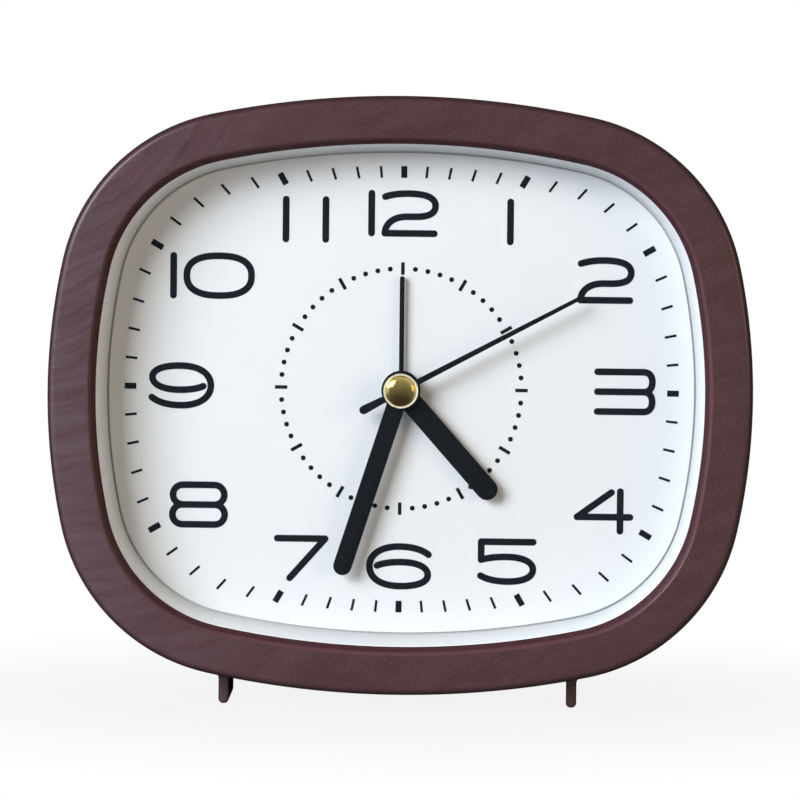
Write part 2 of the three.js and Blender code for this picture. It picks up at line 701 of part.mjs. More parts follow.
const clockwise = (angle) => -radians(angle);
const fitGap = STACK_GAP / 2;
const alarmHand =
  hand(baton(ALARM_HAND_LENGTH, ALARM_HAND_WIDTH), ALARM_HUB_RADIUS, alarmTube + fitGap, alarmHandFront);
piece(dialSide, "alarm_hand", alarmHand, handBlack, handAxis, clockwise(ALARM_HAND_ANGLE));
const hourHand =
  hand(baton(HOUR_HAND_LENGTH, HOUR_HAND_WIDTH), HUB_RADIUS, hourTube + fitGap, hourHandFront);
piece(dialSide, "hour_hand", hourHand, handBlack, handAxis, clockwise(HOUR_HAND_ANGLE));
const minuteHand =
  hand(baton(MINUTE_HAND_LENGTH, MINUTE_HAND_WIDTH), HUB_RADIUS, minuteTube + fitGap, minuteHandFront);
piece(dialSide, "minute_hand", minuteHand, handBlack, handAxis, clockwise(MINUTE_HAND_ANGLE));
const secondHand =
  hand(secondHandShape(), SECOND_HUB_RADIUS, SECONDS_ARBOR_RADIUS + fitGap, secondHandFront);
piece(dialSide, "second_hand", secondHand, handBlack, handAxis, clockwise(SECOND_HAND_ANGLE));

// Domed cap pressed on the end of the seconds arbor
const capBack = secondHandFront - STACK_GAP;
const capBoreFront = capBack - CAP_HEIGHT / 2;
function handCap() {
  const domeRadius = CAP_RADIUS - CAP_RIM;
  const domeHeight = CAP_HEIGHT - CAP_RIM;
  const dome = Array.from({ length: CAP_STEPS + 1 }, (unused, step) => {
    const angle = ((TURN / 4) * step) / CAP_STEPS;
    return [domeRadius * Math.sin(angle), capBack - CAP_RIM - domeHeight * Math.cos(angle)];
  });
  dome[0][0] = 0;
  const profile = [...dome, [CAP_RADIUS, capBack - CAP_RIM], [CAP_RADIUS, capBack], [0, capBack]];
  return turned(profile, ROUND_SIDES)
    .subtract(bore(SECONDS_ARBOR_RADIUS + fitGap, capBoreFront, capBack + OVERCUT));
}
piece(dialSide, "hand_cap", handCap(), brass);

// Wheels on the hand axis, each with its tube or arbor
function wheelOnTube(teeth, module, layer, boreRadius, radius, tubeFront) {
  const back = layer + WHEEL_THICKNESS;
  const blank = gear(teeth, module, layer).add(disc(radius, tubeFront, back, FINE_SIDES));
  return blank.subtract(bore(boreRadius, tubeFront - OVERCUT, back + OVERCUT));
}
const alarmWheel =
  wheelOnTube(ALARM_TEETH, alarmModule, alarmLayer, alarmTubeBore, alarmTube, alarmHandFront);
piece(movement, "alarm_wheel", alarmWheel, wheelPlastic, handAxis, alarmTurn);
const hourWheel = wheelOnTube(HOUR_TEETH, hourModule, hourLayer, hourTubeBore, hourTube, hourHandFront);
piece(movement, "hour_wheel", hourWheel, wheelPlastic, handAxis, hourTurn);

// Turned copy of a solid about the hand axis, for two toothed rims on one arbor
function turnedBy(solid, turn) {
  return solidOf(geometryOf(solid).rotateZ(turn));
}

function centreWheel() {
  const rim = turnedBy(gear(CENTRE_TEETH, thirdModule, centreLayer), centreWheelTurn);
  const cannon = turnedBy(gear(CANNON_TEETH, cannonModule, minuteLayer), centreTurn);
  const back = centreLayer + WHEEL_THICKNESS;
  const hub = disc(minuteTube, minuteHandFront, back, FINE_SIDES);
  return join([rim, cannon, hub]).subtract(bore(minuteTubeBore, minuteHandFront - OVERCUT, back + OVERCUT));
}
piece(movement, "centre_wheel", centreWheel(), wheelPlastic);

function secondsWheel() {
  const arbor = disc(SECONDS_ARBOR_RADIUS, capBoreFront + fitGap, movementRoof + PIVOT_DEPTH, FINE_SIDES);
  const collar = disc(2 * SECONDS_ARBOR_RADIUS, thirdLayer, secondsLayer + WHEEL_THICKNESS, FINE_SIDES);
  const pinion = gear(SECONDS_PINION_TEETH, secondsModule, thirdLayer);
  return join([gear(SECONDS_TEETH, intermediateModule, secondsLayer), pinion, collar, arbor]);
}
piece(movement, "seconds_wheel", secondsWheel(), wheelPlastic, handAxis, secondsTurn);

// Wheels on their own arbors
const pivotHole = ARBOR_RADIUS + RUNNING_GAP;
const thirdBossBack = minuteLayer + WHEEL_THICKNESS;
const pivotFront = trainFront + STACK_GAP;

const thirdWheel = join([
  gear(THIRD_TEETH, secondsModule, thirdLayer),
  gear(THIRD_PINION_TEETH, thirdModule, centreLayer),
  disc(ARBOR_RADIUS, thirdBossBack - PIVOT_DEPTH, trainBack - STACK_GAP, FINE_SIDES),
  disc(2 * ARBOR_RADIUS, centreLayer + WHEEL_THICKNESS, thirdLayer, FINE_SIDES),
]);
piece(movement, "third_wheel", thirdWheel, wheelPlastic, thirdAxis, thirdTurn);

const intermediateWheel = join([
  gear(INTERMEDIATE_TEETH, rotorModule, motorLayer),
  gear(INTERMEDIATE_PINION_TEETH, intermediateModule, secondsLayer),
  disc(ARBOR_RADIUS, pivotFront, movementRoof + PIVOT_DEPTH, FINE_SIDES),
  disc(2 * ARBOR_RADIUS, secondsLayer + WHEEL_THICKNESS, motorLayer, FINE_SIDES),
]);
piece(movement, "intermediate_wheel", intermediateWheel, wheelPlastic, intermediateAxis, intermediateTurn);

const rotor = join([
  gear(ROTOR_PINION_TEETH, rotorModule, motorLayer),
  disc(MAGNET_RADIUS, secondsLayer, secondsLayer + WHEEL_THICKNESS, ROUND_SIDES),
  disc(ARBOR_RADIUS, pivotFront, movementRoof + PIVOT_DEPTH, FINE_SIDES),
  disc(2 * ARBOR_RADIUS, secondsLayer, motorLayer, FINE_SIDES),
]);
piece(movement, "rotor", rotor, chipBlack, rotorAxis, rotorTurn);

// The minute wheel turns on a post of the movement base
const minuteBore = ARBOR_RADIUS + SEAT_GAP + RUNNING_GAP;
const minutePostRadius = ARBOR_RADIUS + SEAT_GAP;
const minuteShoulder = minutePostRadius + SEAT_GAP;
const minuteWheel = join([
  gear(MINUTE_TEETH, cannonModule, minuteLayer),
  gear(MINUTE_PINION_TEETH, hourModule, hourLayer),
  disc(minuteBore + SEAT_GAP, hourLayer, minuteLayer + WHEEL_THICKNESS, FINE_SIDES),
]).subtract(bore(minuteBore, hourLayer - OVERCUT, minuteLayer + WHEEL_THICKNESS + OVERCUT));
piece(movement, "minute_wheel", minuteWheel, wheelPlastic, minuteAxis, minuteTurn);

// Setting arbors run from the movement's floor out through the back cover into their knobs
const setPivotRadius = SET_ARBOR_RADIUS - SEAT_GAP;
const setPivotHole = setPivotRadius + RUNNING_GAP;
const setArborHole = SET_ARBOR_RADIUS + RUNNING_GAP;
const arborBack = knobFront + KNOB_BORE_DEPTH - STACK_GAP;

function settingArbor(teeth, module, layer) {
  const pivotTip = floorBack - PIVOT_DEPTH;
  const profile = [[0, pivotTip], [setPivotRadius, pivotTip], [setPivotRadius, layer],
    [SET_ARBOR_RADIUS, layer], [SET_ARBOR_RADIUS, arborBack], [0, arborBack]];
  return turned(profile).add(gear(teeth, module, layer));
}
const timeSetArbor = settingArbor(TIME_SET_TEETH, cannonModule, minuteLayer);
piece(movement, "time_set_arbor", timeSetArbor, wheelPlastic, timeSetAxis, timeSetTurn);
const alarmSetArbor = settingArbor(ALARM_SET_TEETH, alarmModule, alarmLayer);
piece(movement, "alarm_set_arbor", alarmSetArbor, wheelPlastic, alarmSetAxis, alarmSetTurn);

function knob() {
  const points = Array.from({ length: 2 * KNOB_FLUTES }, (unused, index) => {
    const angle = (TURN * index) / (2 * KNOB_FLUTES);
    const radius = KNOB_RADIUS - (index % 2) * KNOB_FLUTE_DEPTH;
    return new THREE.Vector2(radius * Math.cos(angle), radius * Math.sin(angle));
  });
  const fluted = extrude(new THREE.Shape(points), knobFront, knobBack);
  const outside = KNOB_RADIUS + OVERCUT;
  const before = knobFront - OVERCUT;
  const bevelled = turned([[0, before], [outside, before], [outside, knobBack - KNOB_EDGE - OVERCUT],
    [KNOB_RADIUS - KNOB_EDGE, knobBack], [0, knobBack]], ROUND_SIDES);
  return fluted.intersect(bevelled)
    .subtract(bore(SET_ARBOR_RADIUS + fitGap, before, knobFront + KNOB_BORE_DEPTH));
}
piece(clock, "time_set_knob", knob(), coverBrown, timeSetAxis);
piece(clock, "alarm_set_knob", knob(), coverBrown, alarmSetAxis);

// Motor: stator round the rotor's magnet, with its arms lapped on the core of the coil
const statorFront = trainBack + STACK_GAP;
const statorBack = statorFront + STATOR_THICKNESS;
const statorHole = MAGNET_RADIUS + MAGNET_GAP;
const statorHalf = statorHole + STATOR_NECK;
const coilX = rotorAxis.x + COIL_OFFSET;
const coreBottom = rotorAxis.y - CORE_LENGTH / 2;
const coreTop = rotorAxis.y + CORE_LENGTH / 2;
const coreBack = statorFront - STACK_GAP;
const coreFront = coreBack - STATOR_THICKNESS;
const coreDepth = (coreFront + coreBack) / 2;
const corePins = [coreBottom + STATOR_ARM / 2, coreTop - STATOR_ARM / 2]
  .map((y) => new THREE.Vector2(coilX, y));
const pinHole = PIN_RADIUS + RUNNING_GAP;

function stator() {
  const left = rotorAxis.x - statorHalf;
  const right = coilX + CORE_WIDTH / 2;
  const front = statorFront - OVERCUT;
  const back = statorBack + OVERCUT;
  const body = extrude(rectangle(left, coreBottom, right, coreTop), statorFront, statorBack);
  const window = extrude(
    rectangle(rotorAxis.x + statorHalf, coreBottom + STATOR_ARM, right + OVERCUT, coreTop - STATOR_ARM),
    front, back);
  const magnetHole = disc(statorHole, front, back, ROUND_SIDES, rotorAxis.x, rotorAxis.y);
  const holes = corePins.map((place) => bore(pinHole, front, back, place));
  return cut(body, [window, magnetHole, ...holes]);
}
piece(movement, "stator", stator(), steel);

const coreShape = rectangle(coilX - CORE_WIDTH / 2, coreBottom, coilX + CORE_WIDTH / 2, coreTop);
const coreSolid = cut(
  extrude(coreShape, coreFront, coreBack),
  corePins.map((place) => bore(pinHole, coreFront - OVERCUT, coreBack + OVERCUT, place)));
piece(movement, "coil_core", coreSolid, steel);

// Bobbin and winding stand upright round the core
const bobbinBore = Math.hypot(CORE_WIDTH, STATOR_THICKNESS) / 2 + RUNNING_GAP;
const bobbinRadius = bobbinBore + BOBBIN_WALL;
function upright(name, profile, material) {
  const points = profile.map(([radius, rise]) => new THREE.Vector2(radius, rise));
  const mesh = new THREE.Mesh(geometryOf(solidOf(new THREE.LatheGeometry(points, ROUND_SIDES))), material);
  mesh.name = name;
  mesh.position.set(coilX, rotorAxis.y, -coreDepth);
  movement.add(mesh);
}
const coilHalf = COIL_LENGTH / 2;
const flangeInner = coilHalf - COIL_FLANGE;
upright("coil_bobbin", [[bobbinBore, -coilHalf], [COIL_RADIUS, -coilHalf], [COIL_RADIUS, -flangeInner],
  [bobbinRadius, -flangeInner], [bobbinRadius, flangeInner], [COIL_RADIUS, flangeInner],
  [COIL_RADIUS, coilHalf], [bobbinBore, coilHalf], [bobbinBore, -coilHalf]], housingWhite);
const windingBore = bobbinRadius + STACK_GAP;
const windingRadius = COIL_RADIUS - STACK_GAP;
const windingHalf = flangeInner - STACK_GAP;
upright("coil", [[windingBore, -windingHalf], [windingRadius, -windingHalf], [windingRadius, windingHalf],
  [windingBore, windingHalf], [windingBore, -windingHalf]], copper);

// Train plate between the wheels and the motor, on three posts of the base
const trainBottom = -TRAIN_PLATE_DROP;
const trainRight = coilX - COIL_RADIUS - SEAT_GAP * 2;
const trainTop = MOVEMENT_TOP - SEAT_GAP;
const trainPosts = [
  new THREE.Vector2(trainRight - POST_RADIUS, TRAIN_POST_RISE),
  new THREE.Vector2(rotorAxis.x - statorHalf, trainTop - POST_RADIUS),
  along(thirdAxis, tipRadius(THIRD_TEETH, secondsModule) + POST_RADIUS + 2 * SEAT_GAP, TRAIN_POST_DIRECTION),
];

function trainPlate() {
  const left = trainPosts[2].x - POST_RADIUS;
  const shape = new THREE.Shape();
  shape.moveTo(thirdAxis.x, trainBottom);
  shape.lineTo(trainRight, trainBottom);
  shape.lineTo(trainRight, rotorAxis.y + MAGNET_RADIUS);
  shape.lineTo(trainPosts[1].x + POST_RADIUS, trainTop);
  shape.lineTo(left, trainTop);
  shape.lineTo(left, thirdAxis.y);
  const front = trainFront - OVERCUT;
  const back = trainBack + OVERCUT;
  const pinions = disc(tipRadius(SECONDS_PINION_TEETH, secondsModule) + SEAT_GAP, front, back, FINE_SIDES);
  const pivots = [thirdAxis, intermediateAxis, rotorAxis].map((place) => bore(pivotHole, front, back, place));
  const pins = trainPosts.map((place) => bore(pinHole, front, back, place));
  return cut(extrude(shape, trainFront, trainBack), [pinions, ...pivots, ...pins]);
}
piece(movement, "train_plate", trainPlate(), housingWhite);

// Circuit board at the side of the wheels
const boardRight = -movementHalfWidth + MOVEMENT_WALL + SEAT_GAP + BOARD_WIDTH;
const boardLeft = boardRight - BOARD_WIDTH;
const boardX = (boardLeft + boardRight) / 2;
const boardFront = statorFront;
const boardBack = boardFront + BOARD_THICKNESS;
const boardBottom = BOARD_CENTRE_Y - BOARD_LENGTH / 2;
const boardTop = BOARD_CENTRE_Y + BOARD_LENGTH / 2;
const boardPosts = [boardBottom + POST_RADIUS, boardTop - POST_RADIUS]
  .map((y) => new THREE.Vector2(boardLeft + POST_RADIUS, y));
const boardSolid = cut(
  extrude(rectangle(boardLeft, boardBottom, boardRight, boardTop), boardFront, boardBack),
  boardPosts.map((place) => bore(pinHole, boardFront - OVERCUT, boardBack + OVERCUT, place)));
piece(movement, "circuit_board", boardSolid, boardGreen);

const chipFront = boardBack + STACK_GAP;
const chipSolid = turned([[0, chipFront], [CHIP_RADIUS, chipFront],
  [CHIP_RADIUS * CHIP_TOP_SHARE, chipFront + CHIP_HEIGHT * CHIP_EDGE_SHARE],
  [0, chipFront + CHIP_HEIGHT]], ROUND_SIDES);
piece(movement, "chip", chipSolid, chipBlack, new THREE.Vector2(boardX, BOARD_CENTRE_Y + CHIP_RISE));

function quartzCrystal() {
  const half = CRYSTAL_LENGTH / 2;
  const points = [[0, -half], [CRYSTAL_RADIUS, -half], [CRYSTAL_RADIUS, half], [0, half]];
  const can = new THREE.LatheGeometry(points.map(([r, h]) => new THREE.Vector2(r, h)), FINE_SIDES);
  const mesh = new THREE.Mesh(geometryOf(solidOf(can)), steel);
  mesh.name = "quartz_crystal";
  const depth = boardBack + STACK_GAP + CRYSTAL_RADIUS;
  mesh.position.set(boardRight - 2 * CRYSTAL_RADIUS, BOARD_CENTRE_Y + CRYSTAL_RISE, -depth);
  movement.add(mesh);
}
quartzCrystal();

// Alarm contact: a leaf held by a post, with its tip behind the hour wheel
const leafFront = hourLayer + WHEEL_THICKNESS + (LAYER_GAP - LEAF_THICKNESS) / 2;
const leafBottom = LEAF_TOP - LEAF_LENGTH;
const leafPost = new THREE.Vector2(LEAF_X, leafBottom + LEAF_WIDTH / 2);
const leafSolid = extrude(
  rectangle(LEAF_X - LEAF_WIDTH / 2, leafBottom, LEAF_X + LEAF_WIDTH / 2, LEAF_TOP),
  leafFront, leafFront + LEAF_THICKNESS);
piece(movement, "alarm_contact", leafSolid, copper);

// Movement base: a tray with the wheels above and the cell bay below
const leadSlotHalf = 1.5 * LEAD_SPACING;
function movementBase() {
  const shell = extrude(
    roundedRectangle(-movementHalfWidth, movementBottom, movementHalfWidth, movementUpper, MOVEMENT_CORNER),
    movementFront, movementRoof);
  const past = movementRoof + OVERCUT;
  const wheelRoom = extrude(
    rectangle(-bayHalfLength, gearFloor, bayHalfLength, MOVEMENT_TOP), floorBack, past);
  const cellRoom = extrude(
    rectangle(-bayHalfLength, bayBottom, bayHalfLength, -BAY_TOP), floorBack, past);
  const leadSlot = extrude(
    rectangle(boardX - leadSlotHalf, MOVEMENT_TOP - OVERCUT, boardX + leadSlotHalf, movementUpper + OVERCUT),
    boardBack, past);
  const inFloor = floorBack - STACK_GAP;
  const bush = disc(bushRadius, alarmHandFront + HAND_THICKNESS + SEAT_GAP, floorBack, ROUND_SIDES);
  const post = ({ x, y }, radius, back) => disc(radius, inFloor, back, POST_SIDES, x, y);
  const posts = [
    post(minuteAxis, minuteShoulder, hourLayer - STACK_GAP),
    post(minuteAxis, minutePostRadius, minuteLayer + WHEEL_THICKNESS + SEAT_GAP),
    post(thirdAxis, 2 * pivotHole, thirdBossBack),
    post(leafPost, LEAF_WIDTH / 2 - STACK_GAP, leafFront - STACK_GAP),
    ...trainPosts.flatMap((place) =>
      [post(place, POST_RADIUS, trainFront - STACK_GAP), post(place, PIN_RADIUS, trainBack)]),
    ...boardPosts.flatMap((place) =>
      [post(place, POST_RADIUS, boardFront - STACK_GAP), post(place, PIN_RADIUS, boardBack)]),
    ...corePins.flatMap((place) =>
      [post(place, POST_RADIUS, coreFront - STACK_GAP), post(place, PIN_RADIUS, statorBack)]),
  ];
  const earRoot = movementHalfWidth - STACK_GAP;
  const ears = earPlaces.flatMap(({ x, y }) => [
    disc(EAR_RADIUS, earFront, earBack, FINE_SIDES, x, y),
    extrude(rectangle(Math.min(x, Math.sign(x) * earRoot), y - EAR_RADIUS,
      Math.max(x, Math.sign(x) * earRoot), y + EAR_RADIUS), earFront, earBack),
  ]);
  const earHoles = earPlaces.map((place) =>
    bore(movementScrewHole, earFront - OVERCUT, earBack + OVERCUT, place));
  const blindHole = PIVOT_DEPTH + STACK_GAP;
  const pivots = settingAxes.map((place) =>
    bore(setPivotHole, floorBack - blindHole, floorBack + OVERCUT, place));
  const thirdPivot = bore(pivotHole, thirdBossBack - blindHole, thirdBossBack + OVERCUT, thirdAxis);
  const tray = cut(shell, [wheelRoom, cellRoom, leadSlot]);
  return cut(join([tray, bush, ...posts, ...ears]), [
    bore(bushBore, 0, floorBack + OVERCUT), ...earHoles, ...pivots, thirdPivot]);
}
piece(movement, "movement_base", movementBase(), housingWhite);

// Movement cover over the wheels, with the rear pivots and a window for the switch
const coverPlateFront = movementRoof + STACK_GAP;
const stemHalf = SWITCH_STEM / 2;
function movementCover() {
  const shape =
    roundedRectangle(-movementHalfWidth, -BAY_TOP, movementHalfWidth, movementUpper, MOVEMENT_CORNER);
  const back = coverPlateFront + MOVEMENT_WALL;
  const cutFront = coverPlateFront - OVERCUT;
  const cutBack = back + OVERCUT;
  const pivots = [handAxis, intermediateAxis, rotorAxis].map((place) =>
    bore(pivotHole, cutFront, movementRoof + PIVOT_DEPTH + STACK_GAP, place));
  const arbors = settingAxes.map((place) => bore(setArborHole, cutFront, cutBack, place));
  const stemWindow = extrude(
    rectangle(SWITCH_X - stemHalf - SEAT_GAP, SWITCH_Y - stemHalf - SEAT_GAP,
      SWITCH_X + stemHalf + SWITCH_TRAVEL + SEAT_GAP, SWITCH_Y + stemHalf + SEAT_GAP),
    cutFront, cutBack);
  return cut(extrude(shape, coverPlateFront, back), [...pivots, ...arbors, stemWindow]);
}
piece(movement, "movement_cover", movementCover(), housingWhite);

// Screws, shaped with their head at the back
function screw(radius, headRadius, headHeight, tip, seat) {
  return turned([[0, tip], [radius, tip + radius], [radius, seat], [headRadius, seat],
    [headRadius * HEAD_TAPER, seat + headHeight], [0, seat + headHeight]], POST_SIDES);
}
earPlaces.forEach((place, index) => {
  const solid = screw(MOVEMENT_SCREW_RADIUS, MOVEMENT_SCREW_HEAD_RADIUS, MOVEMENT_SCREW_HEAD_HEIGHT,
    plateFront + 2 * MOVEMENT_SCREW_FLOOR, earBack + STACK_GAP);
  piece(movement, "movement_screw_" + (index + 1), solid, steel, place);
});
bossPlaces.forEach((place, index) => {
  const solid = screw(CASE_SCREW_RADIUS, CASE_SCREW_HEAD_RADIUS, CASE_SCREW_HEAD_HEIGHT,
    screwTip, headSeat + STACK_GAP);
  piece(clock, "case_screw_" + (index + 1), solid, steel, place);
});

// Cell lying across the bay, with its nub to the right
const cellRight = bayHalfLength - SEAT_GAP * 2 - CONTACT_THICKNESS;
const cellLeft = cellRight - CELL_LENGTH - CELL_NUB_LENGTH;
function cell() {
  const radius = CELL_DIAMETER / 2;
  const profile = [[0, 0], [radius - CELL_EDGE, 0], [radius, CELL_EDGE], [radius, CELL_LENGTH - CELL_EDGE],
    [radius - CELL_EDGE, CELL_LENGTH], [CELL_NUB_RADIUS, CELL_LENGTH],
    [CELL_NUB_RADIUS, CELL_LENGTH + CELL_NUB_LENGTH], [0, CELL_LENGTH + CELL_NUB_LENGTH]];
  const points = profile.map(([r, h]) => new THREE.Vector2(r, h));
  const mesh = new THREE.Mesh(geometryOf(solidOf(new THREE.LatheGeometry(points, ROUND_SIDES))), cellBlue);
  mesh.name = "battery";
  mesh.rotation.z = -TURN / 4;
  mesh.position.set(cellLeft, cellCentreY, -cellCentreDepth);
  movement.add(mesh);
}
cell();

// Contacts of bent strip: the middle line of the strip as [x, depth] pairs, thickened to both sides
function stripShape(route, thickness) {
  const line = route.map(([x, depth]) => new THREE.Vector2(x, -depth));
  const normals = line.slice(1).map((point, index) => {
    const step = point.clone().sub(line[index]).normalize();
    return new THREE.Vector2(-step.y, step.x);
  });
  const side = (sign) =>
    line.map((point, index) => {
      const before = normals[Math.max(index - 1, 0)];
      const after = normals[Math.min(index, normals.length - 1)];
      const mitre = before.clone().add(after).divideScalar(1 + before.dot(after));
      return point.clone().addScaledVector(mitre, (sign * thickness) / 2);
    });
  return new THREE.Shape([...side(1), ...side(-1).reverse()]);
}

function contactStrip(name, route) {
  const geometry = new THREE.ExtrudeGeometry(stripShape(route, CONTACT_THICKNESS), {
    depth: CONTACT_WIDTH,
    bevelEnabled: false,
  });
  geometry.rotateX(Math.PI / 2).translate(0, CONTACT_WIDTH / 2, 0);
  const mesh = new THREE.Mesh(geometryOf(solidOf(geometry)), steel);
  mesh.name = name;
  mesh.position.set(0, cellCentreY, 0);
  movement.add(mesh);
}
const contactFront = floorBack + SEAT_GAP;
const contactBack = cellCentreDepth + CELL_DIAMETER / 3;
const plateX = bayHalfLength - SEAT_GAP - CONTACT_THICKNESS / 2;
contactStrip("contact_positive", [[plateX, contactFront], [plateX, contactBack]]);
const springX = -bayHalfLength + SEAT_GAP + CONTACT_THICKNESS / 2;
contactStrip("contact_negative", [
  [springX, contactFront],
  [springX, contactBack],
  [cellLeft - SEAT_GAP - CONTACT_THICKNESS, cellCentreDepth],
]);

// Door opening in the back cover, over the cell
const openingHalfWidth = bayHalfLength - MOVEMENT_WALL;
const openingHalfHeight = CELL_DIAMETER / 2;
const doorFront = rear - DOOR_THICKNESS;

function doorShape(grow) {
  return roundedRectangle(-openingHalfWidth - grow, cellCentreY - openingHalfHeight - grow,
    openingHalfWidth + grow, cellCentreY + openingHalfHeight + grow, DOOR_CORNER);
}

function batteryDoor() {
  const ribs = Array.from({ length: DOOR_RIBS }, (unused, index) => {
    const middle = cellCentreY + openingHalfHeight - (index + 1) * DOOR_RIB_PITCH;
    return extrude(rectangle(-DOOR_RIB_LENGTH / 2, middle - DOOR_RIB_WIDTH / 2, DOOR_RIB_LENGTH / 2,
      middle + DOOR_RIB_WIDTH / 2), rear - STACK_GAP, rear + DOOR_RIB_HEIGHT);
  });
  return join([extrude(doorShape(DOOR_LEDGE - SEAT_GAP), doorFront + STACK_GAP, rear), ...ribs]);
}
piece(clock, "battery_door", batteryDoor(), coverBrown);

// Alarm switch: thumb piece outside, neck through the slot and flange inside
const switchFront = rearInner - STACK_GAP - SWITCH_FLANGE;
const switchPlace = new THREE.Vector2(SWITCH_X, SWITCH_Y);
const neckHalf = SWITCH_NECK / 2;
function alarmSwitch() {
  const thumbFront = rear + STACK_GAP;
  const halfWidth = SWITCH_WIDTH / 2;
  const halfHeight = SWITCH_HEIGHT / 2;
  const thumb = extrude(
    roundedRectangle(-halfWidth, -halfHeight, halfWidth, halfHeight, SWITCH_CORNER),
    thumbFront, rear + SWITCH_RISE);
  const neck = extrude(rectangle(-neckHalf, -neckHalf, neckHalf, neckHalf),
    switchFront, thumbFront + STACK_GAP);
  const flangeHalf = neckHalf + SWITCH_FLANGE_MARGIN;
  const flange = extrude(rectangle(-neckHalf, -flangeHalf, neckHalf, flangeHalf),
    switchFront, switchFront + SWITCH_FLANGE);
  const stem = extrude(rectangle(-stemHalf, -stemHalf, stemHalf, stemHalf),
    boardBack + SEAT_GAP, switchFront + STACK_GAP);
  return join([thumb, neck, flange, stem]);
}
piece(clock, "alarm_switch", alarmSwitch(), ringWhite, switchPlace);

// Back cover: a shallow dish with a skirt inside the case
function backCover() {
  const skirtInset = CASE_DRAFT + CASE_WALL + SEAT_GAP;
  const skirtFront = coverFront - SKIRT_LENGTH;
  const edge = quarterRound(coverInset, rear, COVER_EDGE_RADIUS, COVER_EDGE_STEPS, -1);
  const dish = loft([
    [skirtInset + SKIRT_WALL, rearInner],
    [skirtInset + SKIRT_WALL, skirtFront],
    [skirtInset, skirtFront],
    [skirtInset, coverFront],
    [coverInset, coverFront],
    ...edge,
  ]);
  const outer = loft([[coverInset, coverFront], ...edge]);
  const recessRadius = CASE_SCREW_HEAD_RADIUS + SEAT_GAP;
  const sleeves = bossPlaces.map(({ x, y }) =>
    disc(recessRadius + SLEEVE_WALL, coverFront, rear - STACK_GAP, FINE_SIDES, x, y).intersect(outer));
  const notches = bossPlaces.map(({ x, y }) =>
    disc(BOSS_RADIUS + SEAT_GAP, 0, coverFront, FINE_SIDES, x, y));
  const recesses = bossPlaces.map(({ x, y }) =>
    disc(recessRadius, headSeat, rear + OVERCUT, FINE_SIDES, x, y));
  const screwHoles = bossPlaces.map((place) => bore(screwHole, coverFront - OVERCUT, rear, place));
  const cutFront = rearInner - OVERCUT;
  const cutBack = rear + OVERCUT;
  const arborHoles = settingAxes.map((place) => bore(SET_ARBOR_RADIUS + SEAT_GAP, cutFront, cutBack, place));
  const buzzerRim = tube(BUZZER_RADIUS + SEAT_GAP, BUZZER_RADIUS + SEAT_GAP + BUZZER_RIM,
    rearInner - BUZZER_HEIGHT, rearInner + STACK_GAP, ROUND_SIDES, 0, buzzerY);
  const soundSlots = Array.from({ length: SOUND_SLOTS }, (unused, index) => {
    const rise = (index - (SOUND_SLOTS - 1) / 2) * SOUND_SLOT_PITCH;
    const half = Math.sqrt(BUZZER_RADIUS ** 2 - rise ** 2) - BUZZER_RIM;
    const bottom = buzzerY + rise - SOUND_SLOT_WIDTH / 2;
    return extrude(rectangle(-half, bottom, half, bottom + SOUND_SLOT_WIDTH), cutFront, cutBack);
  });
  const slot = extrude(
    rectangle(SWITCH_X - neckHalf - SEAT_GAP, SWITCH_Y - neckHalf - SEAT_GAP,
      SWITCH_X + neckHalf + SWITCH_TRAVEL + SEAT_GAP, SWITCH_Y + neckHalf + SEAT_GAP),
    cutFront, cutBack);
  const opening = extrude(doorShape(0), cutFront, cutBack);
  const doorSeat = extrude(doorShape(DOOR_LEDGE), doorFront, cutBack);
  const body = join([cut(dish, notches), ...sleeves, buzzerRim]);
  return cut(body, [...recesses, ...screwHoles, ...arborHoles, ...soundSlots, slot, opening, doorSeat]);
}
piece(clock, "back_cover", backCover(), coverBrown);

// Sounder in its ring on the back cover, with two leads to the circuit board
const buzzerPlace = new THREE.Vector2(0, buzzerY);
const buzzerFront = rearInner - BUZZER_HEIGHT - STACK_GAP;
const buzzerSolid = disc(BUZZER_RADIUS, buzzerFront, rearInner - STACK_GAP, ROUND_SIDES);
piece(clock, "buzzer", buzzerSolid, brass, buzzerPlace);

function lead(name, side, color) {
  const boardEnd = boardX + (side * LEAD_SPACING) / 2;
  const buzzerEnd = -BUZZER_RADIUS / 2 + side * LEAD_SPACING;
  const leadY = buzzerY - side * LEAD_SPACING;
  const depth = boardBack + LEAD_RADIUS + SEAT_GAP;
  const route = new THREE.CatmullRomCurve3([
    new THREE.Vector3(boardEnd, boardTop - LEAD_TUCK_LENGTH, -depth),
    new THREE.Vector3(boardEnd, movementUpper, -depth),
    new THREE.Vector3(boardEnd + LEAD_SWEEP_WIDTH, leadY, LEAD_LIFT_HEIGHT - buzzerFront),
    new THREE.Vector3(buzzerEnd, leadY, LEAD_RADIUS + SEAT_GAP - buzzerFront),
  ]);
  const section = new THREE.Shape();
  section.absarc(0, 0, LEAD_RADIUS, 0, TURN);
  const geometry = new THREE.ExtrudeGeometry(section, {
    steps: LEAD_STEPS,
    extrudePath: route,
    curveSegments: CORNER_STEPS,
  });
  const mesh = new THREE.Mesh(geometryOf(solidOf(geometry)), finish(color, 0.5));
  mesh.name = name;
  clock.add(mesh);
}
lead("buzzer_lead_red", 1, 0x9c2f2a);
lead("buzzer_lead_black", -1, 0x1c1c1e);

// Stand the clock on its feet, over the middle of its depth
clock.rotation.x = TURN / 4;
clock.position.set(0, -knobBack / 2, -footBottom);

export default clock;
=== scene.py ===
"""Dresses the packed table alarm clock with its fine shapes, finishes, dial print and studio."""

import json
import math
from collections import namedtuple

import bmesh
import bpy
from bpy.props import FloatProperty, FloatVectorProperty, IntProperty, PointerProperty
from bpy.types import Operator, Panel, PropertyGroup
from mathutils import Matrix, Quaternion, Vector


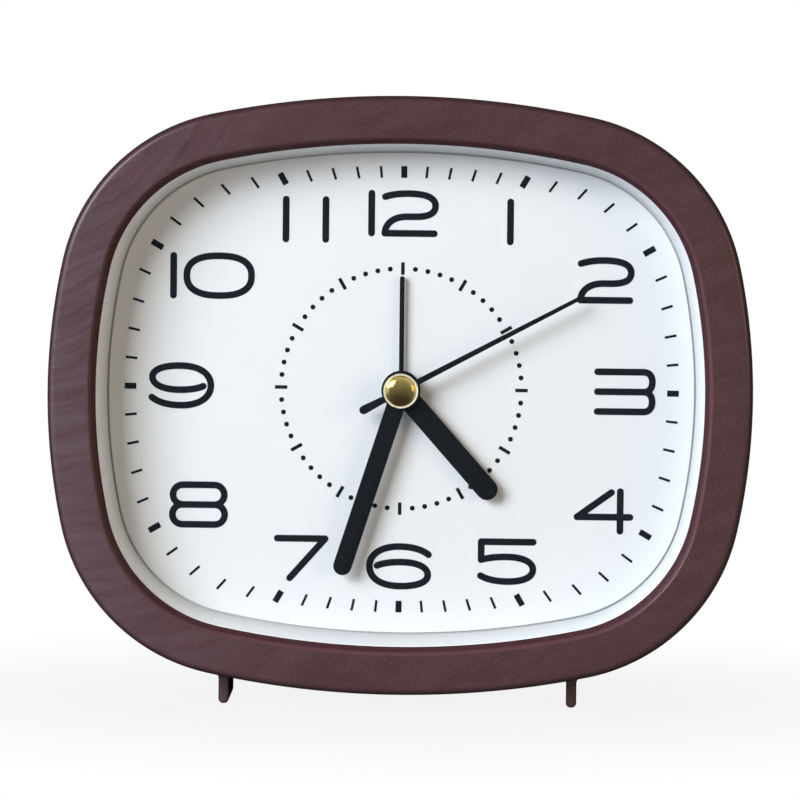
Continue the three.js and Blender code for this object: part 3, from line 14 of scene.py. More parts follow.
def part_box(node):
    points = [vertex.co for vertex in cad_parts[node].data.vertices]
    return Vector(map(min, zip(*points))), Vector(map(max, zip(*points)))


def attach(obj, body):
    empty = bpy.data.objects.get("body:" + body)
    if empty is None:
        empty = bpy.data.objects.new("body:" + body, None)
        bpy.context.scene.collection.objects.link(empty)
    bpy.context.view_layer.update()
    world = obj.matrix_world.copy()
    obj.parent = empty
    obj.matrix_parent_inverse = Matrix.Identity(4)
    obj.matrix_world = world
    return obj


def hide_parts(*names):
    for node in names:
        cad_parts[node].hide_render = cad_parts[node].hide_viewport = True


bl_info = {
    "name": "Table Alarm Clock",
    "version": (1, 0, 0),
    "blender": (4, 5, 0),
    "location": "View3D > Sidebar > Clock",
    "description": "Builds the fine shapes, finishes, dial print and studio of a table alarm clock",
    "category": "Object",
}

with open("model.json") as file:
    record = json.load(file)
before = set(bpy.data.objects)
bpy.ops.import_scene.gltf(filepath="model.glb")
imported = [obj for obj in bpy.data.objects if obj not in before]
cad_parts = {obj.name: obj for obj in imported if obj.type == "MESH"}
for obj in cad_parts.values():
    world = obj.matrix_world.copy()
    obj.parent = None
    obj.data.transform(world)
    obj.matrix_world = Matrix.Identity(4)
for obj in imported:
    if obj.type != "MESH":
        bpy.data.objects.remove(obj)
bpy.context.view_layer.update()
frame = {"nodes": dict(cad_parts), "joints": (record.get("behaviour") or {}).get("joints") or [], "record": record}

MM = 0.001
FULL = 2 * math.pi
QUARTER = math.pi / 2

# Cutters reach past what they cut, and pieces have play in their seats
OVERCUT = 1 * MM
FIT = 0.3 * MM

# Smallest radius, what rounded ends lack of a full half circle, and what counts as one point after a cut
POINT = 0.05 * MM
HAIR = 0.01 * MM
SAME = 0.002 * MM

# Steeper edges than this look sharp
SHARP = math.radians(32)

# The hand axis and the front face of the case are the origin of every flat outline below
CASE_LOW, CASE_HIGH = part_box("front_case")
FRONT = CASE_LOW.y
HINGES = {joint["name"]: Vector(joint["pos_m"]) for joint in frame["joints"] if "pos_m" in joint}
AXIS = HINGES["minutes_spin"].z

# The case without its feet
CASE_HEIGHT = 119 * MM

# The printed grain runs in arcs about a place above and to the left of the case
GRAIN_MIDDLE = (-78 * MM, 0, AXIS + 73 * MM)

# Most of the noise of its streaks lies within this spread
STREAK_SPREAD = (0.36, 0.64)


def spot(x, y, depth):
    """Point at x and y from the hand axis and at a depth behind the front face."""
    return Vector((x, FRONT + depth, AXIS + y))


def span(node):
    """Front and back depth of a node."""
    low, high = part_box(node)
    return low.y - FRONT, high.y - FRONT


def centre(node):
    """Middle of a node, seen from the front, from the hand axis."""
    low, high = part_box(node)
    return (low.x + high.x) / 2, (low.z + high.z) / 2 - AXIS


def hinge_place(joint):
    """Place of a hinge, seen from the front, from the hand axis."""
    return HINGES[joint].x, HINGES[joint].z - AXIS


# Settings


def length(name, description, millimetres):
    """A length property, given in millimetres and kept in metres."""
    return FloatProperty(
        name=name, description=description, default=millimetres * MM, unit="LENGTH", precision=5
    )


def turn(name, description, degrees):
    """An angle property, given in degrees."""
    return FloatProperty(
        name=name, description=description, default=math.radians(degrees), unit="ROTATION"
    )


def tone(name, description, red, green, blue):
    """A colour property."""
    return FloatVectorProperty(
        name=name, description=description, default=(red, green, blue), size=3, min=0, max=1, subtype="COLOR"
    )


def share(name, description, value):
    """A plain factor."""
    return FloatProperty(name=name, description=description, default=value, min=0, subtype="FACTOR")


class CaseSettings(PropertyGroup):
    """Outline, section and finish of the case."""

    width: length("Width", "Across the case", (CASE_HIGH.x - CASE_LOW.x) / MM)
    height: length("Height", "From the bottom of the case to its top", CASE_HEIGHT / MM)
    middle_rise: length(
        "Middle rise", "Middle of the case, from the hand axis", (CASE_HIGH.z - CASE_HEIGHT / 2 - AXIS) / MM
    )
    side_radius: length("Side radius", "Arc of the left and right sides", 124)
    top_radius: length("Top radius", "Arc of the top and bottom", 184)
    corner_radius: length("Corner radius", "Arc of the corners", 38)
    edge_radius: length("Edge radius", "Rounding of the outer front edge", 1.6)
    frame_width: length("Frame width", "From the outer side to the window", 9.5)
    bevel_width: length("Bevel width", "Sloping inner edge of the frame", 1.1)
    inner_edge: length("Inner edge", "Rounding where face and bevel meet", 0.6)
    lip_depth: length("Lip depth", "Depth of the frame in front of the pane", 2.6)
    lip_edge: length("Lip edge", "Upright end of the bevel", 0.6)
    lip_round: length("Lip rounding", "Where bevel and lip meet", 0.1)
    seat_width: length("Seat width", "Ledge behind the lip that holds the pane", 1.7)
    rib_wall: length("Rib wall", "Rib round the pane, ring and dial", 1.2)
    rib_reach: length("Rib reach", "How far the rib runs past the front of the dial plate", 1.4)
    wall: length("Wall", "Side wall", 2.2)
    rear_edge: length("Rear edge", "Broken rear edges of wall and feet", 0.3)
    draft: length("Draft", "How far the sides draw in towards the back", 1.6)
    foot_width: length("Foot width", "Thickness of each foot", 2.1)
    foot_spacing: length("Foot spacing", "Between the middles of the feet", 69.4)
    foot_start: length("Foot start", "Depth of the front end of each foot", 6)
    foot_edge: length("Foot edge", "Rounding of the front edge of each foot", 0.5)
    foot_root: length("Foot root", "Fillet of each foot, above the bottom of the case", 3.2)
    foot_top: length("Foot top", "Top of each foot in the case, above the bottom of the case", 5.4)
    foot_draft: length("Foot draft", "How far each side of a foot draws in towards the back", 0.35)
    foot_round: length("Foot rounding", "Rounded lower corners of each foot", 0.95)
    foot_flare: length("Foot flare", "Fillet at the root of each foot", 0.6)
    flare_stretch: share("Flare stretch", "Height of a foot's fillet against its width", 1.6)
    boss_inset: length("Boss inset", "Screw places in from the outline", 6.3)
    boss_radius: length("Boss radius", "Screw bosses inside the case", 2.2)
    boss_root: length("Boss root", "How far the bosses reach into the front wall", 0.3)
    boss_end: length("Boss end", "How far the bosses stop short of the rear edge", 0.05)
    wood_dark: tone("Dark grain", "Dark streaks of the printed wood", 0.043, 0.0152, 0.0183)
    wood_light: tone("Light grain", "Light streaks of the printed wood", 0.091, 0.041, 0.0455)
    # Painted sheen: the paler, greyer tone laid over the left of the face stands in for the sheen of the light
    # there
    painted_left_sheen: tone("Bloom", "Greyer tone of the print on the left", 0.125, 0.092, 0.112)
    # Painted highlight: the pale upper edge of the bevel stands in for the light caught where face and bevel meet
    bevel: tone("Bevel", "Upper edge of the bevel", 0.098, 0.041, 0.047)
    # Painted shade: the dark lower part of the bevel, next to the pane, stands in for the shade there
    lip: tone("Lip", "Lower part of the bevel, next to the pane", 0.056, 0.020, 0.026)
    # The sides' darker tone is partly the plain plastic and partly painted shade that darkens the outer rounded
    # edge into a dark outline
    rim: tone("Rim", "Plain plastic of the sides", 0.040, 0.0150, 0.0172)


class DialSettings(PropertyGroup):
    """Pane, ring, dial and print."""

    pane_edge: length("Pane edge", "Broken edges of the pane", 0.2)
    ring_top: length("Ring top", "Rounding at the outer rim of the ring", 0.35)
    ring_foot: length("Ring foot", "Rounding where the ring meets the dial", 0.3)
    ring_wall: length("Ring wall", "Thickness of the ring", 1.1)
    ring_slope: length("Ring slope", "How far the ring leans in", 1.65)
    groove_width: length("Groove width", "Groove between ring and dial", 0.45)
    groove_depth: length("Groove depth", "Groove between ring and dial", 0.38)
    hole: length("Hole", "Radius of the hole for the hands", 3.85)
    print_height: length("Print height", "Thickness of the print", 0.03)
    print_root: length("Print root", "How far the print reaches into the dial", 0.01)
    print_turn: turn("Print turn", "Track and alarm ring, clockwise", 0.15)
    stroke: length("Stroke", "Width of the strokes of the numbers", 1.36)
    number_size: share("Number size", "Size of the numbers against their drawing", 1.02)
    track_width: length("Track width", "Middle line of the minute track", 108.6)
    track_height: length("Track height", "Middle line of the minute track", 87.1)
    track_side_radius: length("Track side radius", "Arc of the track's sides", 103.6)
    track_top_radius: length("Track top radius", "Arc of the track's top and bottom", 175.3)
    track_corner_radius: length("Track corner radius", "Arc of the track's corners", 25.9)
    track_corner_play: length("Track corner play", "Half the unlikeness of its corner arcs", 0.55)
    track_side: length("Track side", "Middle of the track, from the hand axis", 0.03)
    track_rise: length("Track rise", "Middle of the track, from the hand axis", 0.01)
    tick_length: length("Tick length", "Length of the minute ticks", 2.34)
    tick_width: length("Tick width", "Width of the minute ticks", 0.5)
    hour_tick_width: length("Hour tick width", "Width of every fifth tick", 1.21)
    ring_radius: length("Alarm ring radius", "Radius of the ring of dots", 24.06)
    ring_rise: length("Alarm ring rise", "Middle of the ring of dots, from the hand axis", 0.2)
    dash_length: length("Dash length", "Dashes of the alarm ring", 2.48)
    dash_width: length("Dash width", "Dashes of the alarm ring", 0.7)
    dot_size: length("Dot size", "Dots of the alarm ring", 1.0)
    face: tone("Face", "Colour of the dial", 0.86, 0.88, 0.91)
    # Painted shade: the groove's grey stands in for the shade between ring and dial
    groove: tone("Groove", "Colour of the groove between ring and dial", 0.58, 0.585, 0.59)
    # Painted highlight on the ring's front rim
    painted_ring_highlight: tone("Ring rim", "Colour of the ring's front rim", 0.94, 0.93, 0.92)
    ring: tone("Ring", "Colour of the ring", 0.80, 0.82, 0.84)
    # Painted shade on the ring next to the dial
    painted_ring_shade: tone("Ring foot", "Colour of the ring next to the dial", 0.66, 0.675, 0.69)
    ink: tone("Ink", "Colour of the print", 0.007, 0.010, 0.015)


class HandSettings(PropertyGroup):
    """Hands and cap."""

    edge: length("Edge", "Rounding along the front of the hands", 0.1)
    rear_edge: length("Rear edge", "Rounding along the back of the hands", 0.03)
    hub: length("Hub", "Radius of the hour and minute hubs", 3.9)
    hour_length: length("Hour length", "Hour hand from the axis", 28.4)
    hour_width: length("Hour width", "Hour hand", 4.3)
    hour_hole: length("Hour hole", "Radius of the hour hand's hole", 1.8)
    hour_turn: turn("Hour turn", "Clockwise from twelve", 138.5)
    minute_length: length("Minute length", "Minute hand from the axis", 38.9)
    minute_width: length("Minute width", "Minute hand", 3.7)
    minute_hole: length("Minute hole", "Radius of the minute hand's hole", 1.15)
    minute_turn: turn("Minute turn", "Clockwise from twelve", 197.8)
    second_length: length("Second length", "Second hand from the axis", 40.4)
    second_root: length("Second root", "Second hand at its hub", 1.2)
    second_tip: length("Second tip", "Second hand at its tip", 0.8)
    second_hub: length("Second hub", "Radius of the second hand's hub", 2.2)
    second_hole: length("Second hole", "Radius of the second hand's hole", 0.5)
    second_turn: turn("Second turn", "Clockwise from twelve", 62)
    tail_length: length("Tail length", "Second hand behind the axis", 9.2)
    tail_width: length("Tail width", "Second hand's tail", 1.75)
    alarm_length: length("Alarm length", "Alarm hand from the axis", 22.8)
    alarm_width: length("Alarm width", "Alarm hand", 0.95)
    alarm_hub: length("Alarm hub", "Radius of the alarm hand's hub", 3.6)
    alarm_hole: length("Alarm hole", "Radius of the alarm hand's hole", 2.45)
    alarm_turn: turn("Alarm turn", "Clockwise from twelve", 0)
    cap_radius: length("Cap radius", "Brass cap", 3.5)
    cap_rim: length("Cap rim", "Flat rim of the cap", 0.4)
    cap_step: length("Cap step", "Rim below the foot of the dome", 0.02)
    cap_root: length("Cap root", "Width of that step", 0.1)
    cap_edge: length("Cap edge", "Broken edge of the rim", 0.12)
    cap_hole: length("Cap hole", "Radius of the hole for the arbor", 0.5)
    cap_hole_depth: length("Cap hole depth", "Depth of the hole for the arbor", 0.7)
    cap_point: length("Cap point", "Smallest radius, at the middle of the cap", 0.02)
    paint: tone("Paint", "Colour of the hands", 0.006, 0.008, 0.011)
    brass: tone("Brass", "Colour of the cap", 0.58, 0.46, 0.14)
    # Painted reflection: dark tone of the cap at its front and below, also used for its random mottling
    dark_mottle_and_reflection: tone("Deep brass", "Colour of the cap at its front and below", 0.045, 0.030, 0.011)
    # Painted highlight on the cap's rim
    painted_rim_highlight: tone("Pale brass", "Colour of the cap's rim", 0.92, 0.83, 0.60)


class BackSettings(PropertyGroup):
    """Back cover, knobs, switch, door and screws."""

    cover_inset: length("Cover inset", "Cover in from the outline", 1.9)
    cover_edge: length("Cover edge", "Rounding of the cover's rear edge", 3)
    cover_wall: length("Cover wall", "Thickness of the cover", 2)
    skirt_inset: length("Skirt inset", "Skirt inside the case, in from the outline", 4.1)
    skirt_wall: length("Skirt wall", "Thickness of the skirt", 1.2)
    skirt_length: length("Skirt length", "How far the skirt reaches into the case", 2.5)
    chamfer: length("Chamfer", "Broken edges of openings", 0.25)
    rest_gap: length("Rest gap", "Gap under screw heads, door and switch", 0.1)
    recess: length("Recess", "Radius of the screw recesses", 2.3)
    sleeve: length("Sleeve", "Outer radius of the screw sleeves", 3.4)
    sleeve_bite: length("Sleeve bite", "How far the sleeves reach into the cover", 0.1)
    screw_head: length("Screw head", "Radius of the screw heads", 2)
    screw_height: length("Screw height", "Height of the screw heads", 1.4)
    crown_width: length("Crown width", "Width of the rounding of the screw heads", 0.9)
    crown_foot: length("Crown foot", "Upright side below the rounding of the screw heads", 0.3)
    screw_shank: length("Screw shank", "Radius of the screw shanks", 0.95)
    shank_play: length("Shank play", "Gap round the screw shanks", 0.15)
    screw_tip: length("Screw tip", "Radius of the screw tips", 0.1)
    screw_taper: length("Screw taper", "Length of the screw tips", 0.9)
    cross_width: length("Cross width", "Driver cross in the screw heads", 0.5)
    cross_depth: length("Cross depth", "Driver cross in the screw heads", 0.8)
    cross_corner: length("Cross corner", "Corner radius of the driver cross", 0.08)
    cross_reach: share("Cross reach", "Driver cross against the radius of the head", 0.62)
    arbor_hole: length("Arbor hole", "Radius of the holes for the knobs' arbors", 1.3)
    flutes: IntProperty(name="Flutes", description="Grip flutes round each knob", default=20, min=3)
    flute_depth: length("Flute depth", "Grip flutes of the knobs", 0.5)
    knob_edge: length("Knob edge", "Rounding of the knobs' rear edge", 0.9)
    knob_foot: length("Knob foot", "Rounding of the knobs' front edge", 0.3)
    knob_dish: length("Knob dish", "Hollow in the end of each knob", 0.5)
    dish_margin: length("Dish margin", "Flat rim round the hollow", 0.6)
    dish_slope: length("Dish slope", "Width of the side of the hollow", 0.8)
    knob_bore: length("Knob bore", "Radius of the hole for the arbor", 1.05)
    bore_depth: length("Bore depth", "Depth of the hole for the arbor", 4)
    slots: IntProperty(name="Slots", description="Sound slots over the sounder", default=7, min=1)
    slot_width: length("Slot width", "Sound slots", 1.3)
    slot_chamfer: length("Slot chamfer", "Broken edges of the sound slots", 0.2)
    slot_pitch: length("Slot pitch", "Between sound slots", 2.6)
    slot_reach: length("Slot reach", "Radius of the field of sound slots", 11)
    slot_margin: length("Slot margin", "Sound slots stop short of the sounder's edge", 1)
    door_ledge: length("Door ledge", "Ledge that carries the door", 1.6)
    door_gap: length("Door gap", "Gap round the door", 0.3)
    door_corner: length("Door corner", "Corner radius of the door", 2)
    door_edge: length("Door edge", "Rounding of the door's front edge", 0.15)
    ribs: IntProperty(name="Ribs", description="Grip ribs of the door", default=3, min=0)
    rib_root: length("Rib root", "How far the grip ribs reach into the door", 0.3)
    rib_edge: length("Rib edge", "Rounding of the grip ribs", 0.3)
    rib_height: length("Rib height", "Grip ribs of the door", 0.5)
    rib_width: length("Rib width", "Grip ribs of the door", 0.9)
    rib_length: length("Rib length", "Grip ribs of the door", 12)
    rib_pitch: length("Rib pitch", "Between grip ribs", 2.2)
    switch_width: length("Switch width", "Thumb piece of the switch", 7)
    switch_height: length("Switch height", "Thumb piece of the switch", 4.6)
    thumb_foot: length("Thumb foot", "Rounding of the thumb piece at the cover", 0.15)
    thumb_edge: length("Thumb edge", "Rounding of the thumb piece at its rear", 0.5)
    thumb_corner: length("Thumb corner", "Corner radius of the thumb piece", 0.8)
    ridges: IntProperty(name="Ridges", description="Grip ridges of the thumb piece", default=5, min=1)
    ridge_pitch: length("Ridge pitch", "Between grip ridges", 1.1)
    ridge_width: length("Ridge width", "Grip ridges of the thumb piece", 0.6)
    ridge_margin: length("Ridge margin", "Grip ridges stop short of the thumb piece's edge", 0.6)
    ridge_height: length("Ridge height", "Grip ridges above the thumb piece", 0.45)
    ridge_root: length("Ridge root", "How far the grip ridges reach into the thumb piece", 0.35)
    ridge_edge: length("Ridge edge", "Rounding of the grip ridges", 0.2)
    ridge_corner: length("Ridge corner", "Corner radius of the grip ridges", 0.28)
    switch_neck: length("Switch neck", "Neck in the slot", 2.6)
    neck_corner: length("Neck corner", "Corner radius of neck and flange", 0.25)
    slot_corner: length("Slot corner", "Corner radius of the switch's slot", 0.3)
    flange: length("Flange", "Thickness of the flange inside the cover", 0.8)
    flange_reach: length("Flange reach", "Flange past the neck", 0.9)
    stem: length("Stem", "Half the width of the stem to the contacts", 0.8)
    stem_corner: length("Stem corner", "Corner radius of the stem", 0.2)
    switch_travel: length("Switch travel", "Travel of the switch", 4)
    plastic: tone("Plastic", "Colour of the back", 0.026, 0.0125, 0.0115)


class CellSettings(PropertyGroup):
    """Battery cell."""

    dish_depth: length("Dish depth", "Hollow in the flat end", 0.15)
    dish_inner: share("Dish inner", "Hollow against the radius of the cell, at its bottom", 0.62)
    dish_outer: share("Dish outer", "Hollow against the radius of the cell, at its rim", 0.66)
    nub_length: length("Nub length", "Raised contact at the other end", 1)
    nub_radius: length("Nub radius", "Raised contact at the other end", 2.75)
    nub_foot: length("Nub foot", "Width of the fillet at the contact's foot", 0.15)
    nub_rise: length("Nub rise", "Height of the fillet at the contact's foot", 0.2)
    nub_edge: length("Nub edge", "Broken edge of the contact", 0.25)


class StageSettings(PropertyGroup):
    """Camera, floor and light."""

    azimuth: turn("Azimuth", "Camera round to the right", 1.5)
    elevation: turn("Elevation", "Camera above the horizon", 3.2)
    roll: turn("Roll", "Camera turned about its line of sight", 0.61)
    distance: length("Distance", "Camera to the front face", 1200)
    view_width: length("View width", "Width of the view at the front face", 158.45)
    aim_side: length("Aim side", "Middle of the view, from the hand axis", 0.1)
    aim_rise: length("Aim rise", "Middle of the view, from the hand axis", -1.36)
    key: share("Key", "Large soft lamp at the upper left", 47.2)
    window: share("Window", "Cool lamp close on the left", 0.34)
    bounce: share("Bounce", "Warm weak lamp on the right", 3.1)
    fill: share("Fill", "Even light from all round", 0.14)
    fill_tone: tone("Fill tone", "Colour of the even light", 1.0, 0.97, 0.95)
    floor_size: length("Floor size", "From the middle of the floor to its edges", 3000)
    floor_dark: tone("Dark floor", "Darker tone of the floor", 0.22, 0.205, 0.18)
    floor_light: tone("Light floor", "Lighter tone of the floor", 0.24, 0.22, 0.195)
    plain_start: length("Plain start", "Where the floor begins to fade into white", 50)
    plain_end: length("Plain end", "Where the floor is white", 150)


# Outlines


Bow = namedtuple("Bow", "width height side_radius top_radius corner_radius middle_rise")

# Steps along the arcs of a bowed box
SIDE_STEPS = 20
TOP_STEPS = 28
CORNER_STEPS = 26


def outline_arcs(shape):
    """Centre, radius, first and last angle, and steps of each arc of a bowed box."""
    side_middle = shape.width / 2 - shape.side_radius
    top_middle = shape.height / 2 - shape.top_radius
    side_reach = shape.side_radius - shape.corner_radius
    top_reach = shape.top_radius - shape.corner_radius
    line = Vector((-side_middle, top_middle))
    apart = line.length
    along = (side_reach**2 - top_reach**2 + apart**2) / (2 * apart)
    rise = math.sqrt(side_reach**2 - along**2)
    line.normalize()
    corner = Vector((side_middle + line.x * along - line.y * rise, line.y * along + line.x * rise))
    side = math.atan2(corner.y, corner.x - side_middle)
    top = math.atan2(corner.x, corner.y - top_middle)
    middle_of_all = Vector((0, shape.middle_rise))
    arcs = []
    for quarter, (across, up) in enumerate(((1, 1), (-1, 1), (-1, -1), (1, -1))):
        start = quarter * QUARTER
        middle = [(side_middle, 0), (0, top_middle), (-side_middle, 0), (0, -top_middle)][quarter]
        if quarter % 2 == 0:
            half, next_half, radius, steps = side, top, shape.side_radius, SIDE_STEPS
        else:
            half, next_half, radius, steps = top, side, shape.top_radius, TOP_STEPS
        arcs.append((middle_of_all + Vector(middle), radius, start - half, start + half, steps))
        place = middle_of_all + Vector((corner.x * across, corner.y * up))
        end = start + QUARTER - next_half
        arcs.append((place, shape.corner_radius, start + half, end, CORNER_STEPS))
    return arcs


def heading(angle):
    """Unit vector at an angle."""
    return Vector((math.cos(angle), math.sin(angle)))


def outline(shape, inset=0.0):
    """Points of a bowed box drawn in by an inset; all insets have matching points."""
    points = []
    for middle, radius, first, last, steps in outline_arcs(shape):
        for step in range(steps):
            points.append(middle + (radius - inset) * heading(first + (last - first) * step / steps))
    return points


def screw_places(case):
    """Screw places in the middle of the corner arcs."""
    return [
        middle + (radius - case.boss_inset) * heading((first + last) / 2)
        for middle, radius, first, last, _ in outline_arcs(case)[1::2]
    ]


def circle(x, y, radius, sides):
    """Points round a circle."""
    return [
        Vector((x + radius * math.cos(FULL * i / sides), y + radius * math.sin(FULL * i / sides)))
        for i in range(sides)
    ]


def bored(loop, radius):
    """Circle about the hand axis whose points lie in line with those of a loop round it."""
    return [point.normalized() * radius for point in loop]


def rounded_box(left, bottom, right, top, radius, grow=0.0, steps=6):
    """Points of a box with round corners, grown to all sides."""
    points = []
    radius = max(radius + grow, POINT)
    corners = ((right, top, 1, 1), (left, top, -1, 1), (left, bottom, -1, -1), (right, bottom, 1, -1))
    for quarter, (x, y, across, up) in enumerate(corners):
        middle = Vector((x + across * (grow - radius), y + up * (grow - radius)))
        for step in range(steps + 1):
            angle = quarter * QUARTER + QUARTER * step / steps
            points.append(middle + radius * heading(angle))
    return points


def centred(x, y, half_width, half_height, corner):
    """A box about its middle, in the order that rounded_box takes."""
    return x - half_width, y - half_height, x + half_width, y + half_height, corner


def rounding(radius, steps, sweep=QUARTER):
    """Points round an edge: what is left of its width and what is gone of its depth at each."""
    angles = [sweep * step / steps for step in range(steps + 1)]
    return [(radius * (1 - math.sin(angle)), radius * (1 - math.cos(angle))) for angle in angles]


def edge_rows(front, back, front_edge, back_edge, steps=3):
    """Inset and depth down the side of a plate, with its front and back edges rounded."""
    rows = [(left, front + gone) for left, gone in rounding(front_edge, steps)]
    return rows + [(gone, back - left) for left, gone in rounding(back_edge, steps)]


# Meshes


def skin(layers, ring=False, place=spot):
    """A closed skin over matching loops, each at its depth; a ring meets its own start."""
    mesh = bmesh.new()
    rows = [[mesh.verts.new(place(point.x, point.y, depth)) for point in loop] for loop, depth in layers]
    pairs = list(zip(rows, rows[1:]))
    if ring:
        pairs.append((rows[-1], rows[0]))
    for upper, lower in pairs:
        for i in range(len(upper)):
            j = (i + 1) % len(upper)
            mesh.faces.new((upper[i], upper[j], lower[j], lower[i]))
    if not ring:
        mesh.faces.new(rows[0][::-1])
        mesh.faces.new(rows[-1])
    bmesh.ops.recalc_face_normals(mesh, faces=mesh.faces)
    return mesh


def turned(profile, x, y, sides, place=spot):
    """A turned solid from radius and depth pairs."""
    return skin([(circle(x, y, radius, sides), depth) for radius, depth in profile], place=place)


def gathered(meshes):
    """One mesh from several."""
    whole = bmesh.new()
    for mesh in meshes:
        part = bpy.data.meshes.new("part")
        mesh.to_mesh(part)
        mesh.free()
        whole.from_mesh(part)
        bpy.data.meshes.remove(part)
    return whole


def combined(body, tools, operation):
    """A solid after joining or cutting it with tools, in order."""
    holders = []
    for mesh in (body, *tools):
        data = bpy.data.meshes.new("holder")
        mesh.to_mesh(data)
        mesh.free()
        holder = bpy.data.objects.new("holder", data)
        bpy.context.scene.collection.objects.link(holder)
        holders.append(holder)
    for tool in holders[1:]:
        change = holders[0].modifiers.new("change", "BOOLEAN")
        change.operation = operation
        change.solver = "EXACT"
        change.object = tool
    result = bmesh.new()
    result.from_object(holders[0], bpy.context.evaluated_depsgraph_get())
    for holder in holders:
        data = holder.data
        bpy.data.objects.remove(holder)
        bpy.data.meshes.remove(data)
    bmesh.ops.remove_doubles(result, verts=result.verts, dist=SAME)
    return result


def piece(name, mesh, body, material, stands_for=()):
    """A finished piece that rides on a body and takes a slot's finish."""
    data = bpy.data.meshes.new(name)
    for face in mesh.faces:
        face.smooth = True
    mesh.to_mesh(data)
    mesh.free()
    data.set_sharp_from_angle(angle=SHARP)
    data.materials.append(material)
    result = bpy.data.objects.new(name, data)
    bpy.context.scene.collection.objects.link(result)
    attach(result, body)
    if stands_for:
        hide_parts(*stands_for)


# Finishes


class Nodes:
    """A node tree under way, with short ways to add its nodes."""

    def __init__(self, tree):
        self.nodes = tree.nodes
        self.links = tree.links

    def feed(self, socket, value):
        """Links a socket to another one or sets its value; colours may leave out their alpha."""
        if isinstance(value, bpy.types.NodeSocket):
            self.links.new(value, socket)
        elif socket.type == "RGBA":
            socket.default_value = (*value[:3], 1)
        else:
            socket.default_value = value

    def add(self, kind, **values):
        """A node with its inputs and settings."""
        node = self.nodes.new(kind)
        for name, value in values.items():
            socket = node.inputs.get(name.replace("_", " "))
            if socket is None:
                setattr(node, name, value)
            else:
                self.feed(socket, value)
        return node

    def maths(self, operation, first, second=0.0):
        """A number worked out from one or two others."""
        node = self.add("ShaderNodeMath", operation=operation)
        self.feed(node.inputs[0], first)
        self.feed(node.inputs[1], second)
        return node.outputs[0]

    def between(self, factor, low, high, start=0.3, end=0.7):
        """A number that runs from low to high as the factor goes from start to end."""
        node = self.add("ShaderNodeMapRange", Value=factor)
        for name, value in (("From Min", start), ("From Max", end), ("To Min", low), ("To Max", high)):
            self.feed(node.inputs[name], value)
        return node.outputs[0]

    def blend(self, factor, first, second):
        """A colour between two."""
        node = self.add("ShaderNodeMix", data_type="RGBA")
        for index, value in ((0, factor), (6, first), (7, second)):
            self.feed(node.inputs[index], value)
        return node.outputs[2]

    def seen(self):
        """One for rays from the camera and for those that mirror or pass through something."""
        rays = self.add("ShaderNodeLightPath").outputs
        direct = self.maths("ADD", rays["Is Camera Ray"], rays["Is Glossy Ray"])
        return self.maths("MINIMUM", self.maths("ADD", direct, rays["Is Transmission Ray"]), 1.0)


class Finish(Nodes):
    """A material under way."""

    def __init__(self, name):
        self.material = bpy.data.materials.new(name)
        self.material.use_nodes = True
        super().__init__(self.material.node_tree)
        self.shader = self.nodes["Principled BSDF"]
        self.output = self.nodes["Material Output"]

    def place(self, scale=(1, 1, 1), tilt=0.0):
        """Places on the piece, tilted about the depth axis and then stretched."""
        own = self.add("ShaderNodeTexCoord").outputs["Object"]
        if tilt:
            own = self.add("ShaderNodeMapping", Vector=own, Rotation=(0, tilt, 0)).outputs[0]
        return self.add("ShaderNodeMapping", Vector=own, Scale=scale).outputs[0]

    def noise(self, place, scale, detail=3.0, roughness=0.5, distortion=0.0):
        """Even noise from 0 to 1."""
        node = self.add(
            "ShaderNodeTexNoise",
            Vector=place,
            Scale=scale,
            Detail=detail,
            Roughness=roughness,
            Distortion=distortion,
        )
        return node.outputs["Fac"]

    def facing(self, direction):
        """How far the surface faces a way: one where it does so straight, nought on edges."""
        own = self.add("ShaderNodeTexCoord").outputs["Normal"]
        node = self.add("ShaderNodeVectorMath", operation="DOT_PRODUCT")
        self.feed(node.inputs[0], own)
        self.feed(node.inputs[1], direction)
        return node.outputs["Value"]

    def distance(self, middle):
        """How far a place lies from a middle, seen from the front."""
        node = self.add("ShaderNodeVectorMath", operation="DISTANCE")
        self.feed(node.inputs[0], self.place((1, 0, 1)))
        self.feed(node.inputs[1], middle)
        return node.outputs["Value"]

    def outward(self):
        """How far the surface faces away from the hand axis, and below nought towards it."""
        middle = self.add("ShaderNodeVectorMath", operation="SUBTRACT")
        self.feed(middle.inputs[0], self.place((1, 0, 1)))
        self.feed(middle.inputs[1], (0, 0, AXIS))
        out = self.add("ShaderNodeVectorMath", operation="NORMALIZE")
        self.feed(out.inputs[0], middle.outputs[0])
        return self.facing(out.outputs[0])

    def bump(self, height, distance, strength=1.0):
        """Small relief on the shader's normal."""
        node = self.add("ShaderNodeBump", Height=height, Distance=distance, Strength=strength)
        self.links.new(node.outputs[0], self.shader.inputs["Normal"])

    def cover(self, factor, other):
        """Lays another shader over the material's own by a factor."""
        mix = self.nodes.new("ShaderNodeMixShader")
        for index, value in ((0, factor), (1, self.shader.outputs[0]), (2, other)):
            self.feed(mix.inputs[index], value)
        self.links.new(mix.outputs[0], self.output.inputs["Surface"])

    def shade(self, **values):
        """Values and links of the shader's own sockets."""
        for name, value in values.items():
            self.feed(self.shader.inputs[name.replace("_", " ")], value)
        return self.material


def scaled(colour, factor):
    """A colour made lighter or darker."""
    return tuple(min(1.0, channel * factor) for channel in colour)


def moulded(name, colour, roughness, mottle=0.06, grain=0.004, grain_scale=2500, metallic=0.0, **more):
    """Moulded, painted or stamped stuff: faint mottling, uneven gloss and a fine grain."""
    made = Finish(name)
    place = made.place()
    cloud = made.noise(place, 90, 4)
    fine = made.noise(place, grain_scale, 2)
    base = made.blend(cloud, scaled(colour, 1 - mottle), scaled(colour, 1 + mottle))
    gloss = made.between(fine, roughness - 0.05, roughness + 0.07)
    made.bump(fine, grain * MM)
    return made.shade(Base_Color=base, Roughness=gloss, Metallic=metallic, **more)


